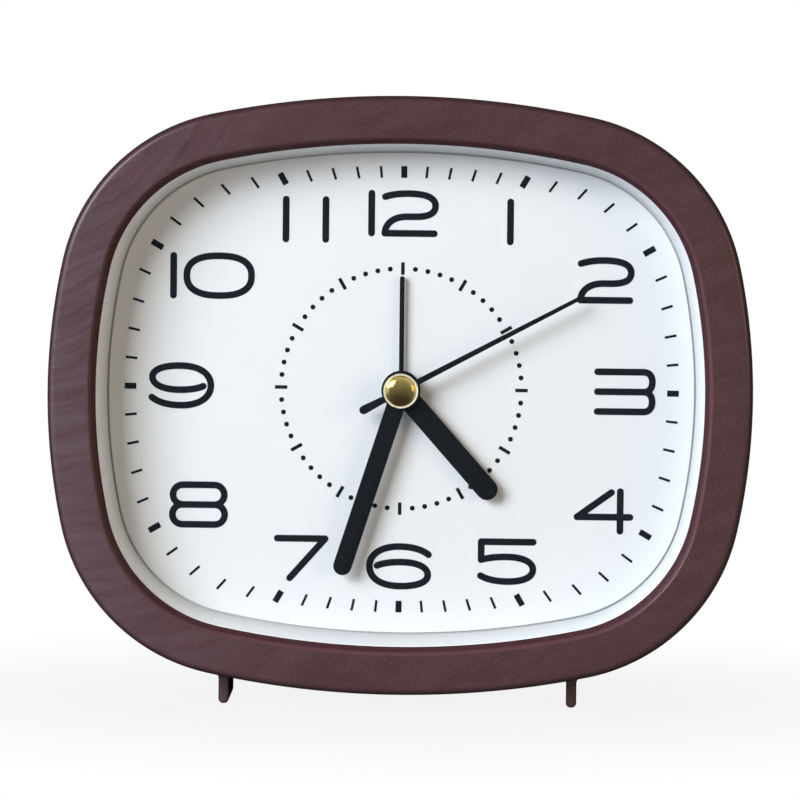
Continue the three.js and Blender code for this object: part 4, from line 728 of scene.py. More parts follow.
def fibres(made, across, along, scale, detail):
    """Noise drawn out along the arcs of the grain."""
    stretch = made.add("ShaderNodeCombineXYZ", X=made.maths("MULTIPLY", across, scale), Z=along)
    return made.noise(stretch.outputs[0], 1.0, detail, 0.6)


def wood_grain(made, own, across, height):
    """Printed lines and hairs in long arcs, and their broad streaks; they are strongest at the upper left, where
    their contrast is partly print and partly painted sheen that shows the grain there.
    """
    arc = made.distance(GRAIN_MIDDLE)
    sway = made.between(made.noise(own, 36, 3), -1.5, 1.5, 0.2, 0.8)
    band = made.maths("FRACT", made.maths("ADD", made.maths("MULTIPLY", arc, 290), sway))
    run = made.maths("ADD", made.maths("MULTIPLY", arc, 420), sway)
    streak = fibres(made, across, run, 30, 4)
    broad = made.between(streak, 0.0, 0.5, *STREAK_SPREAD)
    both = made.maths("ADD", made.maths("MULTIPLY", band, 0.5), broad)
    # The grain is strongest at the upper left: partly print, partly painted sheen, because that is where the light
    # shows it most
    high = made.between(height, 0.3, 1.0, AXIS - 5 * MM, AXIS + 22 * MM)
    left = made.between(across, 1.0, 0.0, -62 * MM, -20 * MM)
    patch = made.between(made.noise(own, 45, 2), 0.4, 1.5, 0.35, 0.65)
    strength = made.maths("MULTIPLY", made.maths("MULTIPLY", left, high), patch)
    lines = made.maths("MULTIPLY", made.maths("SUBTRACT", both, 0.5), strength)
    fibre = fibres(made, across, made.maths("MULTIPLY", arc, 2600), 260, 3)
    hairs = made.maths("MULTIPLY", made.between(fibre, 0.0, 0.2, 0.45, 0.75), strength)
    return lines, hairs, streak


def printed_wood(case):
    """Brown plastic whose face carries a printed grain in long arcs, calm on the right; its colour also holds
    painted sheen on the left, a painted highlight and painted shade on the bevel, and painted shade along the
    outline.
    """
    made = Finish("printed_wood")
    own = made.place()
    across, depth, height = made.add("ShaderNodeSeparateXYZ", Vector=own).outputs
    facing, lean = made.facing((0, -1, 0)), made.outward()
    lines, hairs, streak = wood_grain(made, own, across, height)

    # Colour of the face: grain, mottling and specks, with painted sheen on the left: a paler, greyer tone that
    # stands in for the sheen of the light there
    cloud = made.noise(made.place((0.4, 1, 1), math.radians(24)), 190, 5, 0.7)
    mottle = made.between(cloud, 0.2, 0.8)
    speck = made.between(made.noise(own, 2400, 2), -0.28, 0.28)
    grain = made.maths("ADD", made.maths("ADD", lines, mottle), speck)
    base = made.blend(grain, case.wood_dark, case.wood_light)
    base = made.blend(hairs, base, scaled(case.wood_dark, 0.8))
    # Painted sheen: a paler, greyer tone over the left of the face, strongest at the far left and along the
    # streaks
    streaky = made.between(streak, 0.5, 1.5, *STREAK_SPREAD)
    sheen_mask = made.maths("MULTIPLY", made.between(across, 0.40, 0.0, -70 * MM, -12 * MM), streaky)
    base = made.blend(sheen_mask, base, case.painted_left_sheen)

    # Colour of the sides and of the bevel down to the pane: the bevel has a painted highlight along its upper edge
    # and painted shade on its lower part, next to the pane
    # Partly plain plastic, partly painted shade: the outer rounded edge darkens into the side tone as it turns
    # from the front
    rim = made.between(facing, 1.0, 0.0, 0.75, 0.985)
    side = made.blend(mottle, scaled(case.rim, 0.8), scaled(case.rim, 1.2))
    bevel = made.between(lean, 1.0, 0.0, -0.5, -0.1)
    # Painted shade: the lower part of the bevel, next to the pane, darkens to the lip tone
    lip = made.between(depth, 0.0, 1.0, FRONT + 0.5 * MM, FRONT + 0.9 * MM)
    inner = made.blend(lip, case.bevel, case.lip)

    # Relief and gloss, which fades at a slant
    fine = made.maths("MULTIPLY", made.noise(own, 1700, 2), 0.3)
    made.bump(made.maths("ADD", made.maths("ADD", lines, hairs), fine), 0.02 * MM, 0.7)
    slant = made.add("ShaderNodeLayerWeight", Blend=0.5).outputs["Facing"]
    sheen = made.between(slant, 0.3, 0.0, 0.2, 0.75)
    return made.shade(
        Base_Color=made.blend(bevel, made.blend(rim, base, side), inner),
        Roughness=made.between(grain, 0.52, 0.40, 0, 1),
        Specular_IOR_Level=0.0,
        Coat_Weight=made.maths("MULTIPLY", made.between(rim, 1.55, 1.0, 0, 1), sheen),
        Coat_Roughness=0.24,
    )


def layered_white(name, roughness, first, changes):
    """White stuff with a first tone and changes of tone, each from one depth to another."""
    made = Finish(name)
    place = made.place()
    depth = made.add("ShaderNodeSeparateXYZ", Vector=place).outputs[1]
    cloud, fine = made.noise(place, 90, 4), made.noise(place, 1500, 2)
    base = first
    for start, end, colour in changes:
        base = made.blend(made.between(depth, 0.0, 1.0, FRONT + start, FRONT + end), base, colour)
    base = made.blend(made.between(cloud, 0.0, 0.02), base, (0.4, 0.4, 0.4))
    made.bump(fine, 0.003 * MM)
    return made.shade(Base_Color=base, Roughness=made.between(fine, roughness - 0.05, roughness + 0.07))


def dial_card(dial):
    """White card with painted shade in the groove round its edge."""
    start = span("dial")[0]
    return layered_white("dial_card", 0.6, dial.face, [(start + 0.04 * MM, start + 0.16 * MM, dial.groove)])


def ring_plastic(dial):
    """White plastic with a painted highlight on its front rim and painted shade towards the dial."""
    start, end = span("dial_ring")
    changes = [(start + 0.2 * MM, start + 0.5 * MM, dial.ring), (start + 2 * MM, end, dial.painted_ring_shade)]
    return layered_white("satin_white", 0.36, dial.painted_ring_highlight, changes)


def clear_pane():
    """Clear pane that shows a little gloss, more of it at a slant."""
    made = Finish("clear_pane")
    film = made.noise(made.place(), 45, 2)
    made.shade(Base_Color=(0.95, 0.97, 1.0), Metallic=1.0, Roughness=made.between(film, 0.02, 0.06))
    slant = made.maths("POWER", made.add("ShaderNodeLayerWeight", Blend=0.5).outputs["Facing"], 3)
    clear = made.add("ShaderNodeBsdfTransparent", Color=(0.985, 0.99, 0.99)).outputs[0]
    made.cover(made.between(slant, 0.998, 0.65, 0, 1), clear)
    return made.material


def polished_brass(hands):
    """Polished brass with a painted reflection: darker at the front and below, lighter towards its edges and top,
    with a painted highlight on the rim.
    """
    made = Finish("polished_brass")
    place = made.place()
    # Painted reflection: the colour runs from dark at the front and below to the brass tone at the edges and top,
    # standing in for the room the cap mirrors
    slant = made.maths("SUBTRACT", 1.0, made.facing((0, -1, 0)))
    cloud = made.noise(place, 500, 3)
    above = made.maths("MULTIPLY", made.facing((0, 0, 1)), 0.6)
    light = made.maths("ADD", made.maths("MULTIPLY", slant, 1.3), above)
    painted_reflection = made.blend(made.between(light, 0.0, 1.0, -0.08, 0.5), hands.dark_mottle_and_reflection, hands.brass)
    base = made.blend(made.between(cloud, 0.0, 0.3), painted_reflection, hands.dark_mottle_and_reflection)
    # Painted highlight: the flat rim takes a pale tone
    dome = hands.cap_radius - hands.cap_rim
    rim = made.between(made.distance((0, 0, AXIS)), 0.0, 1.0, dome - 0.05 * MM, dome + hands.cap_root)
    made.bump(made.noise(place, 900, 2), 0.0015 * MM)
    return made.shade(
        Base_Color=made.blend(rim, base, hands.painted_rim_highlight),
        Roughness=made.between(cloud, 0.09, 0.16),
        Metallic=1.0,
    )


def wound_copper():
    """Fine wire laid round the coil."""
    made = Finish("wound_copper")
    wave = made.add("ShaderNodeTexWave", Vector=made.place(), Scale=1400, Distortion=0.6)
    wave.bands_direction = "Z"
    turns = wave.outputs["Fac"]
    base = made.blend(turns, (0.22, 0.07, 0.025), (0.62, 0.24, 0.10))
    made.bump(turns, 0.03 * MM)
    return made.shade(Base_Color=base, Roughness=made.between(turns, 0.45, 0.3), Metallic=1.0)


def circuit_board():
    """Green board with paler tracks under the lacquer."""
    made = Finish("lacquered_board")
    cells = made.add("ShaderNodeTexVoronoi", Vector=made.place(), Scale=420)
    cells.feature = "DISTANCE_TO_EDGE"
    track = made.between(cells.outputs["Distance"], 0.0, 1.0, 0.05, 0.09)
    base = made.blend(track, (0.06, 0.20, 0.07), (0.022, 0.09, 0.035))
    made.bump(track, 0.02 * MM)
    return made.shade(Base_Color=base, Roughness=made.between(track, 0.3, 0.42))


FINISHES = {}


def finish(slot):
    """The finish of a record slot, made when it is first asked for."""
    scene = bpy.context.scene
    case, dial, hands, back = scene.clock_case, scene.clock_dial, scene.clock_hands, scene.clock_back
    dull = {"Specular_IOR_Level": 0.05}
    makers = {
        "case_brown": lambda: printed_wood(case),
        "clear_pane": clear_pane,
        "ring_white": lambda: ring_plastic(dial),
        "dial_white": lambda: dial_card(dial),
        "dial_ink": lambda: moulded("dial_ink", dial.ink, 0.55, 0.15, 0.002, 3000, **dull),
        "hand_black": lambda: moulded("black_paint", hands.paint, 0.45, 0.12, 0.004, 2200, **dull),
        "cap_brass": lambda: polished_brass(hands),
        "cover_brown": lambda: moulded("grained_brown", back.plastic, 0.55, 0.1, 0.03, 1700),
        "housing_white": lambda: moulded("housing_white", (0.74, 0.72, 0.67), 0.48, 0.04, 0.01),
        "wheel_plastic": lambda: moulded("natural_plastic", (0.66, 0.58, 0.38), 0.42, 0.05, 0.006),
        "steel": lambda: moulded("plain_steel", (0.52, 0.53, 0.54), 0.3, 0.06, 0.004, 3000, 1.0),
        "copper": wound_copper,
        "cell": lambda: moulded("cell_wrap", (0.045, 0.075, 0.14), 0.28, 0.08, 0.004, 1200),
        "board_green": circuit_board,
        "chip_black": lambda: moulded("black_resin", (0.010, 0.011, 0.013), 0.35, 0.15, 0.02, 800),
        "lead_red": lambda: moulded("red_sleeve", (0.32, 0.028, 0.024), 0.5, 0.08, 0.01),
        "lead_black": lambda: moulded("black_sleeve", (0.012, 0.012, 0.013), 0.5, 0.1, 0.01),
    }
    if slot not in FINISHES:
        FINISHES[slot] = makers[slot]()
    return FINISHES[slot]


# Case and window


def case_section(case):
    """Inset and depth round the section of the case, from the outer edge round and back."""
    bevel_top = case.frame_width - case.bevel_width
    bevel_end = case.lip_depth - case.lip_edge
    slope = math.atan2(bevel_end, case.bevel_width)
    seat = case.frame_width - case.seat_width
    rib_end = span("dial_plate")[0] + case.rib_reach
    back = span("front_case")[1]
    rows = [(gone, left) for left, gone in rounding(case.edge_radius, 10)]
    rows += [(bevel_top - left, gone) for left, gone in rounding(case.inner_edge, 4, slope)]
    rows += [
        (case.frame_width - case.lip_round, bevel_end - 1.5 * case.lip_round),
        (case.frame_width, bevel_end + case.lip_round),
        (case.frame_width, case.lip_depth),
        (seat, case.lip_depth),
        (seat, rib_end),
        (seat - case.rib_wall, rib_end),
        (seat - case.rib_wall, case.lip_depth),
        (case.wall, case.lip_depth),
        (case.draft + case.wall, back),
        (case.draft + case.rear_edge, back),
        (case.draft, back - case.rear_edge),
    ]
    return rows


def seat_inset(case):
    """Inset of what sits behind the lip, with play to the rib round it."""
    return case.frame_width - case.seat_width + FIT


def foot_outline(case, side, inset, draw):
    """Front view of a foot: rounded below, with a fillet where it meets the case."""
    x = side * case.foot_spacing / 2
    half = case.foot_width / 2 - inset - draw
    wide = half + 2 * case.foot_flare
    bottom = CASE_LOW.z - AXIS + inset
    case_bottom = case.middle_rise - case.height / 2
    root, top = case_bottom + case.foot_root, case_bottom + case.foot_top
    points = [Vector((x + wide, top)), Vector((x - wide, top))]
    for across in (-1, 1):
        flare = [
            Vector((x + across * (half + left), root - gone * case.flare_stretch))
            for left, gone in rounding(case.foot_flare, 5)
        ]
        corner = [
            Vector((x + across * (half - gone), bottom + left))
            for left, gone in rounding(min(case.foot_round, half), 5)
        ]
        points += flare + corner if across < 0 else corner[::-1] + flare[::-1]
    return points


class CLOCK_OT_case(Operator):
    """Moulded case with its rounded frame, pane seat, screw bosses and two feet"""

    bl_idname = "clock.make_case"
    bl_label = "Case"

    def execute(self, context):
        case = context.scene.clock_case
        shell = skin([(outline(case, inset), depth) for inset, depth in case_section(case)], ring=True)
        back = span("front_case")[1]
        feet = []
        for side in (-1, 1):
            layers = []
            for inset, depth in edge_rows(case.foot_start, back, case.foot_edge, case.rear_edge):
                draw = case.foot_draft * (depth - case.foot_start) / (back - case.foot_start)
                layers.append((foot_outline(case, side, inset, draw), depth))
            feet.append(skin(layers))
        ends = (case.lip_depth - case.boss_root, back - case.boss_end)
        rows = [(case.boss_radius, depth) for depth in ends]
        bosses = [turned(rows, place.x, place.y, 32) for place in screw_places(case)]
        whole = combined(shell, [gathered(feet), gathered(bosses)], "UNION")
        piece("case_shell", whole, "case", finish("case_brown"), ["front_case"])
        return {"FINISHED"}


class CLOCK_OT_pane(Operator):
    """Clear pane behind the lip of the case"""

    bl_idname = "clock.make_pane"
    bl_label = "Pane"

    def execute(self, context):
        case, dial = context.scene.clock_case, context.scene.clock_dial
        inset = seat_inset(case)
        front, back = span("lens")
        rows = edge_rows(front, back, dial.pane_edge, dial.pane_edge)
        pane = skin([(outline(case, inset + more), depth) for more, depth in rows])
        piece("clear_pane", pane, "case", finish("clear_pane"), ["lens"])
        return {"FINISHED"}


class CLOCK_OT_ring(Operator):
    """Pale sloping ring between pane and dial"""

    bl_idname = "clock.make_ring"
    bl_label = "Sloping ring"

    def execute(self, context):
        case, dial = context.scene.clock_case, context.scene.clock_dial
        inset = seat_inset(case)
        front, back = span("dial_ring")
        lean = dial.ring_slope / (back - front)
        foot = case.frame_width + dial.ring_slope
        steps = 4
        rows = [(inset, front)]
        rows += [(case.frame_width - left, front + gone) for left, gone in rounding(dial.ring_top, steps)]
        for step, (left, gone) in enumerate(rounding(dial.ring_foot, steps)):
            rows.append((foot - gone - lean * dial.ring_foot * (1 - step / steps), back - left))
        rows += [
            (foot - dial.ring_wall, back),
            (case.frame_width - dial.ring_wall + lean * dial.ring_wall, front + dial.ring_wall),
            (inset, front + dial.ring_wall),
        ]
        ring = skin([(outline(case, more), depth) for more, depth in rows], ring=True)
        piece("sloping_ring", ring, "case", finish("ring_white"), ["dial_ring"])
        return {"FINISHED"}


# Dial and print: numbers are drawn as strokes in millimetres about the middle of their height


BEND_STEPS = 12


def bend(start, *rest):
    """Points along joined cubic curves: two handles and an end for each."""
    points = [Vector(start)]
    for i in range(0, len(rest), 3):
        first = points[-1].copy()
        second, third, last = (Vector(point) for point in rest[i : i + 3])
        for step in range(1, BEND_STEPS + 1):
            t = step / BEND_STEPS
            u = 1 - t
            points.append(u**3 * first + 3 * u * u * t * second + 3 * u * t * t * third + t**3 * last)
    return points


def straight(start, end):
    """Points along a straight stroke."""
    return [Vector(start), Vector(end)]


def stadium(x, y, half_width, half_height, steps=14):
    """Closed stroke with two straight sides and round ends."""
    points = []
    for end, first in ((1, -QUARTER), (-1, QUARTER)):
        for step in range(steps + 1):
            angle = first + math.pi * step / steps
            middle = x + end * (half_width - half_height)
            points.append(
                Vector((middle + half_height * math.cos(angle), y + half_height * math.sin(angle)))
            )
    return points


def squared_oval(x, y, half_width, half_height, power, steps=64):
    """Closed stroke between an ellipse and a box."""
    points = []
    for step in range(steps):
        c, s = math.cos(FULL * step / steps), math.sin(FULL * step / steps)
        across = math.copysign(abs(c) ** (2 / power), c) * half_width
        up = math.copysign(abs(s) ** (2 / power), s) * half_height
        points.append(Vector((x + across, y + up)))
    return points


def digit_strokes(digit):
    """Width of a digit between stroke middles, its open strokes and its closed strokes."""
    top, low = 3.9, -3.9
    six = bend(
        (11.6, 2.35),
        *((10.2, 3.5), (8.0, top), (5.8, top)),
        *((2.4, top), (0, 2.4), (0, 0)),
        *((0, -2.5), (2.4, low), (6.0, low)),
        *((9.4, low), (11.5, -3.1), (11.5, -1.65)),
        *((11.5, 0.0), (9.2, 0.85), (6.2, 0.85)),
        *((4.2, 0.85), (2.6, 0.6), (1.5, 0.1)),
    )
    shapes = {
        "1": (0.0, [straight((0, low), (0, top))], []),
        "2": (
            9.9,
            [
                bend(
                    (0.05, 3.25),
                    *((1.5, 3.75), (3.0, top), (4.6, top)),
                    *((8.2, top), (9.9, 3.1), (9.9, 1.5)),
                    *((9.9, -0.1), (8.3, -0.62), (6.0, -0.62)),
                    *((5.4, -0.62), (5.0, -0.62), (4.4, -0.62)),
                    *((1.7, -0.62), (0.1, -2.0), (0.0, low)),
                ),
                straight((0, low), (9.7, low)),
            ],
            [],
        ),
        "3": (
            10.75,
            [
                [Vector((0, top))]
                + bend(
                    (9.0, top),
                    *((10.2, top), (10.75, 3.1), (10.75, 1.95)),
                    *((10.75, 0.8), (10.2, 0), (9.0, 0)),
                )
                + [Vector((0, 0))],
                bend(
                    (9.0, 0),
                    *((10.2, 0), (10.75, -0.8), (10.75, -1.95)),
                    *((10.75, -3.1), (10.2, low), (9.0, low)),
                )
                + [Vector((0, low))],
            ],
            [],
        ),
        "4": (
            10.4,
            [
                straight((6.7, 3.7), (0, -1.15)),
                straight((0, -1.15), (10.4, -1.15)),
                straight((8.45, top), (8.45, low)),
            ],
            [],
        ),
        "5": (
            10.2,
            [
                straight((0, top), (10.2, top)),
                straight((0, top), (0, 0.35)),
                bend(
                    (0, 0.35),
                    *((1.8, 0.85), (3.6, 0.95), (5.0, 0.95)),
                    *((8.4, 0.95), (10.2, -0.1), (10.2, -1.5)),
                    *((10.2, -3.1), (8.2, low), (5.2, low)),
                    *((3.0, low), (1.2, -3.55), (-0.1, -2.8)),
                ),
            ],
            [],
        ),
        "6": (11.6, [six], []),
        "7": (9.4, [straight((0, top), (9.4, top)), straight((9.4, top), (2.5, low))], []),
        "8": (10.3, [], [stadium(5.15, 1.95, 5.05, 1.95), stadium(5.15, -1.95, 5.15, 1.95)]),
        "9": (11.6, [[Vector((11.6 - point.x, -point.y)) for point in six]], []),
        "0": (12.7, [], [squared_oval(6.35, 0, 6.35, 3.9, 2.45)]),
    }
    return shapes[digit]


def ribbon(points, width, front, back, closed=False):
    """A flat stroke along points, with round ends."""
    count = len(points)
    half = width / 2
    left, right = [], []
    for i in range(count):
        before = points[i - 1] if closed or i > 0 else points[i]
        after = points[(i + 1) % count] if closed or i < count - 1 else points[i]
        run = (after - before).normalized()
        side = Vector((-run.y, run.x)) * half
        left.append(points[i] + side)
        right.append(points[i] - side)
    if closed:
        return skin([(left, front), (right, front), (right, back), (left, back)], ring=True)
    mesh = bmesh.new()
    caps = []
    steps = 10
    for end, around in ((points[-1], left[-1]), (points[0], right[0])):
        arm = around - end
        cap = []
        for step in range(1, steps):
            c, s = math.cos(math.pi * step / steps), math.sin(math.pi * step / steps)
            cap.append(end + Vector((arm.x * c + arm.y * s, arm.y * c - arm.x * s)))
        caps.append(cap)
    border = left + caps[0] + right[::-1] + caps[1]
    turn_start, turn_end = count + steps - 1, 2 * count + steps - 1
    sheets = []
    for depth in (front, back):
        sheets.append([mesh.verts.new(spot(point.x, point.y, depth)) for point in border])
    for verts in sheets:
        lefts = verts[:count]
        rights = verts[turn_start:turn_end][::-1]
        for i in range(count - 1):
            mesh.faces.new((lefts[i], lefts[i + 1], rights[i + 1], rights[i]))
        mesh.faces.new([lefts[-1], *verts[count:turn_start], rights[-1]])
        mesh.faces.new([rights[0], *verts[turn_end:], lefts[0]])
    upper, lower = sheets
    for i in range(len(border)):
        j = (i + 1) % len(border)
        mesh.faces.new((upper[i], upper[j], lower[j], lower[i]))
    bmesh.ops.recalc_face_normals(mesh, faces=mesh.faces)
    return mesh


# Middles of the numbers in millimetres from the hand axis, and gaps between digits in the strokes' own units
NUMBER_PLACES = {
    "12": (0.09, 35.27),
    "1": (21.47, 33.81),
    "2": (40.65, 22.35),
    "3": (44.71, 0.10),
    "4": (40.76, -23.87),
    "5": (21.56, -34.25),
    "6": (-0.10, -35.45),
    "7": (-19.75, -34.07),
    "8": (-40.40, -23.55),
    "9": (-44.06, 0.34),
    "10": (-38.00, 22.41),
    "11": (-19.41, 33.90),
}
DIGIT_GAP = 2.6
ONES_GAP = 7.8


def number(text, dial, front, back):
    """A number of the dial as one flat solid per digit."""
    x, y = NUMBER_PLACES[text]
    shapes = [digit_strokes(digit) for digit in text]
    size = dial.number_size
    gap = ONES_GAP if text == "11" else DIGIT_GAP
    start = x - size * (sum(shape[0] for shape in shapes) + gap * (len(text) - 1)) / 2
    digits = []
    for width, lines, loops in shapes:
        place = Vector((start, y))
        strokes = [
            ribbon([(place + point * size) * MM for point in points], dial.stroke, front, back, closed)
            for closed, group in ((False, lines), (True, loops))
            for points in group
        ]
        digits.append(combined(strokes[0], strokes[1:], "UNION") if len(strokes) > 1 else strokes[0])
        start += size * (width + gap)
    return digits


# Edges that run along a ray are passed over, and ends of edges count as hit within a little slack
PARALLEL = 1e-12
SLACK = 1e-6


def reach(loop, angle):
    """How far the loop lies from the hand axis, straight out at an angle."""
    ray = heading(angle)
    for i in range(len(loop)):
        start, end = loop[i - 1], loop[i]
        edge = end - start
        across = ray.x * edge.y - ray.y * edge.x
        if abs(across) > PARALLEL:
            out = (start.x * edge.y - start.y * edge.x) / across
            along = (start.x * ray.y - start.y * ray.x) / across
            if out > 0 and -SLACK <= along <= 1 + SLACK:
                return out
    raise ValueError("the loop doesn't go round the hand axis")


def dash(angle, inner, outer, width, middle, front, back):
    """A short bar that points to the middle."""
    out = heading(angle)
    side = Vector((-out.y, out.x)) * width / 2
    ends = [middle + out * outer, middle + out * inner]
    loop = [ends[0] - side, ends[0] + side, ends[1] + side, ends[1] - side]
    return skin([(loop, front), (loop, back)])


def track_line(dial, side):
    """Outer or inner line of the minute track, about its own middle."""
    half = side * dial.tick_length / 2
    return outline(
        Bow(
            dial.track_width + 2 * half,
            dial.track_height + 2 * half,
            dial.track_side_radius + half,
            dial.track_top_radius + half,
            dial.track_corner_radius + side * dial.track_corner_play,
            0.0,
        )
    )


class CLOCK_OT_dial(Operator):
    """White dial with its numbers, minute track and alarm ring"""

    bl_idname = "clock.make_dial"
    bl_label = "Dial and print"

    def execute(self, context):
        case, dial = context.scene.clock_case, context.scene.clock_dial
        front, back = span("dial")
        outer = outline(case, seat_inset(case))
        hole = bored(outer, dial.hole)
        groove_start = case.frame_width + dial.ring_slope - dial.groove_width / 3
        groove = [outline(case, groove_start), outline(case, groove_start + dial.groove_width)]
        floor = front + dial.groove_depth
        rows = [(outer, front), (groove[0], front), (groove[0], floor)]
        rows += [(groove[1], floor), (groove[1], front)]
        card = skin([*rows, (hole, front), (hole, back), (outer, back)], ring=True)
        piece("dial_face", card, "case", finish("dial_white"), ["dial"])
        top = front - dial.print_height
        foot = front + dial.print_root
        numbers = [digit for text in NUMBER_PLACES for digit in number(text, dial, top, foot)]
        outer_line, inner_line = track_line(dial, 1), track_line(dial, -1)
        track_middle = Vector((dial.track_side, dial.track_rise))
        ring_middle = Vector((0, dial.ring_rise))
        dash_ends = (dial.ring_radius - dial.dash_length / 2, dial.ring_radius + dial.dash_length / 2)
        ticks, marks = [], []
        for minute in range(60):
            angle = QUARTER - FULL * minute / 60
            fifth = minute % 5 == 0
            width = dial.hour_tick_width if fifth else dial.tick_width
            ends = (reach(inner_line, angle), reach(outer_line, angle))
            angle -= dial.print_turn
            ticks.append(dash(angle, *ends, width, track_middle, top, foot))
            if fifth:
                marks.append(dash(angle, *dash_ends, dial.dash_width, ring_middle, top, foot))
            else:
                dot = ring_middle + dial.ring_radius * heading(angle)
                loop = circle(dot.x, dot.y, dial.dot_size / 2, 20)
                marks.append(skin([(loop, top), (loop, foot)]))
        for name, meshes in (("dial_numbers", numbers), ("minute_track", ticks), ("alarm_ring", marks)):
            piece(name, gathered(meshes), "case", finish("dial_ink"))
        return {"FINISHED"}


# Hands


TIP_STEPS = 8
HUB_STEPS = 32


def hand_outline(hub, arms, inset, angle):
    """A hub with arms, each given as direction, length, root and tip width, turned clockwise."""
    radius = hub - inset
    points = []
    for i, (direction, size, root, tip) in enumerate(arms):
        middle = direction - angle
        spread = math.asin((root / 2 - inset) / radius)
        end = (size - tip / 2) * heading(middle)
        points.append(radius * heading(middle - spread))
        for step in range(TIP_STEPS + 1):
            round_tip = heading(middle - QUARTER + math.pi * step / TIP_STEPS)
            points.append(end + (tip / 2 - inset) * round_tip)
        points.append(radius * heading(middle + spread))
        after, _, after_root, _ = arms[(i + 1) % len(arms)]
        gap_start = middle + spread
        gap_end = after - angle - math.asin((after_root / 2 - inset) / radius)
        while gap_end <= gap_start:
            gap_end += FULL
        for step in range(1, HUB_STEPS):
            points.append(radius * heading(gap_start + (gap_end - gap_start) * step / HUB_STEPS))
    return points


def hand_solid(node, hub, arms, hands, angle, hole):
    """A flat hand with rounded edges and a hole for its tube."""
    front, back = span(node)
    rows = edge_rows(front, back, hands.edge, hands.rear_edge)
    layers = [(hand_outline(hub, arms, inset, angle), depth) for inset, depth in rows]
    inner = bored(layers[0][0], hole)
    return skin([*layers, (inner, back), (inner, front)], ring=True)


class CLOCK_OT_hands(Operator):
    """Hour, minute, second and alarm hands"""

    bl_idname = "clock.make_hands"
    bl_label = "Hands"

    def execute(self, context):
        hands = context.scene.clock_hands
        up, down = QUARTER, 3 * QUARTER
        hour = [(up, hands.hour_length, hands.hour_width, hands.hour_width)]
        minute = [(up, hands.minute_length, hands.minute_width, hands.minute_width)]
        alarm = [(up, hands.alarm_length, hands.alarm_width, hands.alarm_width)]
        second = [
            (up, hands.second_length, hands.second_root, hands.second_tip),
            (down, hands.tail_length, hands.second_root, hands.tail_width),
        ]
        rows = (
            ("hour_hand", "hours", hands.hub, hour, hands.hour_turn, hands.hour_hole),
            ("minute_hand", "minutes", hands.hub, minute, hands.minute_turn, hands.minute_hole),
            ("second_hand", "seconds", hands.second_hub, second, hands.second_turn, hands.second_hole),
            ("alarm_hand", "alarm", hands.alarm_hub, alarm, hands.alarm_turn, hands.alarm_hole),
        )
        for node, body, hub, arms, angle, hole in rows:
            solid = hand_solid(node, hub, arms, hands, angle, hole)
            piece("black_" + node, solid, body, finish("hand_black"), [node])
        return {"FINISHED"}


class CLOCK_OT_cap(Operator):
    """Domed brass cap over the hands"""

    bl_idname = "clock.make_cap"
    bl_label = "Cap"

    def execute(self, context):
        hands = context.scene.clock_hands
        front, back = span("hand_cap")
        rim = back - hands.cap_rim
        dome = hands.cap_radius - hands.cap_rim
        flat = rim + hands.cap_step
        hole_end = back - hands.cap_hole_depth
        profile = [
            (max(dome * (1 - left), hands.cap_point), front + (rim - front) * gone)
            for left, gone in rounding(1.0, 12)
        ]
        profile += [
            (dome + hands.cap_root, flat),
            (hands.cap_radius - hands.cap_edge, flat),
            (hands.cap_radius, flat + hands.cap_edge),
            (hands.cap_radius, back),
            (hands.cap_hole, back),
            (hands.cap_hole, hole_end),
            (hands.cap_point, hole_end),
        ]
        cap = turned(profile, 0, 0, 64)
        piece("brass_cap", cap, "seconds", finish("cap_brass"), ["hand_cap"])
        return {"FINISHED"}


# Back


def opening(shape, front, rear, chamfer):
    """Cutter for an opening with a broken rear edge; the shape is grown by the chamfer."""
    rows = [(0.0, front), (0.0, rear - chamfer), (chamfer, rear), (chamfer, rear + OVERCUT)]
    return skin([(shape(grow), depth) for grow, depth in rows])


def round_opening(x, y, radius, sides, front, rear, chamfer):
    """Cutter for a round opening."""
    return opening(lambda grow: circle(x, y, radius + grow, sides), front, rear, chamfer)


def boxed_opening(box, front, rear, chamfer, margin=0.0):
    """Cutter for an opening with straight sides, with a margin round its box."""
    return opening(lambda grow: rounded_box(*box, margin + grow), front, rear, chamfer)


def block(box, front, rear):
    """A plain solid with straight sides and rounded corners."""
    return skin([(rounded_box(*box), front), (rounded_box(*box), rear)])


def edged_block(box, rows):
    """A solid with straight sides and rounded corners, drawn in by an inset at each depth."""
    return skin([(rounded_box(*box, -inset), depth) for inset, depth in rows])


def door_frame(back, grow):
    """Half sizes of the door opening with a margin round it."""
    low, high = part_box("battery_door")
    half_width = (high.x - low.x) / 2 - back.door_ledge + back.door_gap + grow
    half_height = (high.z - low.z) / 2 - back.door_ledge + back.door_gap + grow
    return half_width, half_height


def cover_dish(case, back):
    """The cover with its skirt, notched for the case's bosses, and the sleeves of its screws."""
    front, rear = span("back_cover")
    rim = front + back.skirt_length
    inner = rear - back.cover_wall
    inside = back.skirt_inset + back.skirt_wall
    notch = case.boss_radius + FIT
    rows = [(inside, inner), (inside, front), (back.skirt_inset, front), (back.skirt_inset, rim)]
    rows += [(back.cover_inset + back.chamfer, rim), (back.cover_inset, rim + back.chamfer)]
    rows += [(back.cover_inset + gone, rear - left) for left, gone in rounding(back.cover_edge, 8)]
    dish = skin([(outline(case, inset), depth) for inset, depth in rows])
    notches, sleeves = [], []
    for place in screw_places(case):
        notches.append(turned([(notch, 0), (notch, rim)], place.x, place.y, 32))
        ends = [(back.sleeve, rim), (back.sleeve, inner + back.sleeve_bite)]
        sleeves.append(turned(ends, place.x, place.y, 48))
    dish = combined(dish, [gathered(notches)], "DIFFERENCE")
    return combined(dish, [gathered(sleeves)], "UNION")


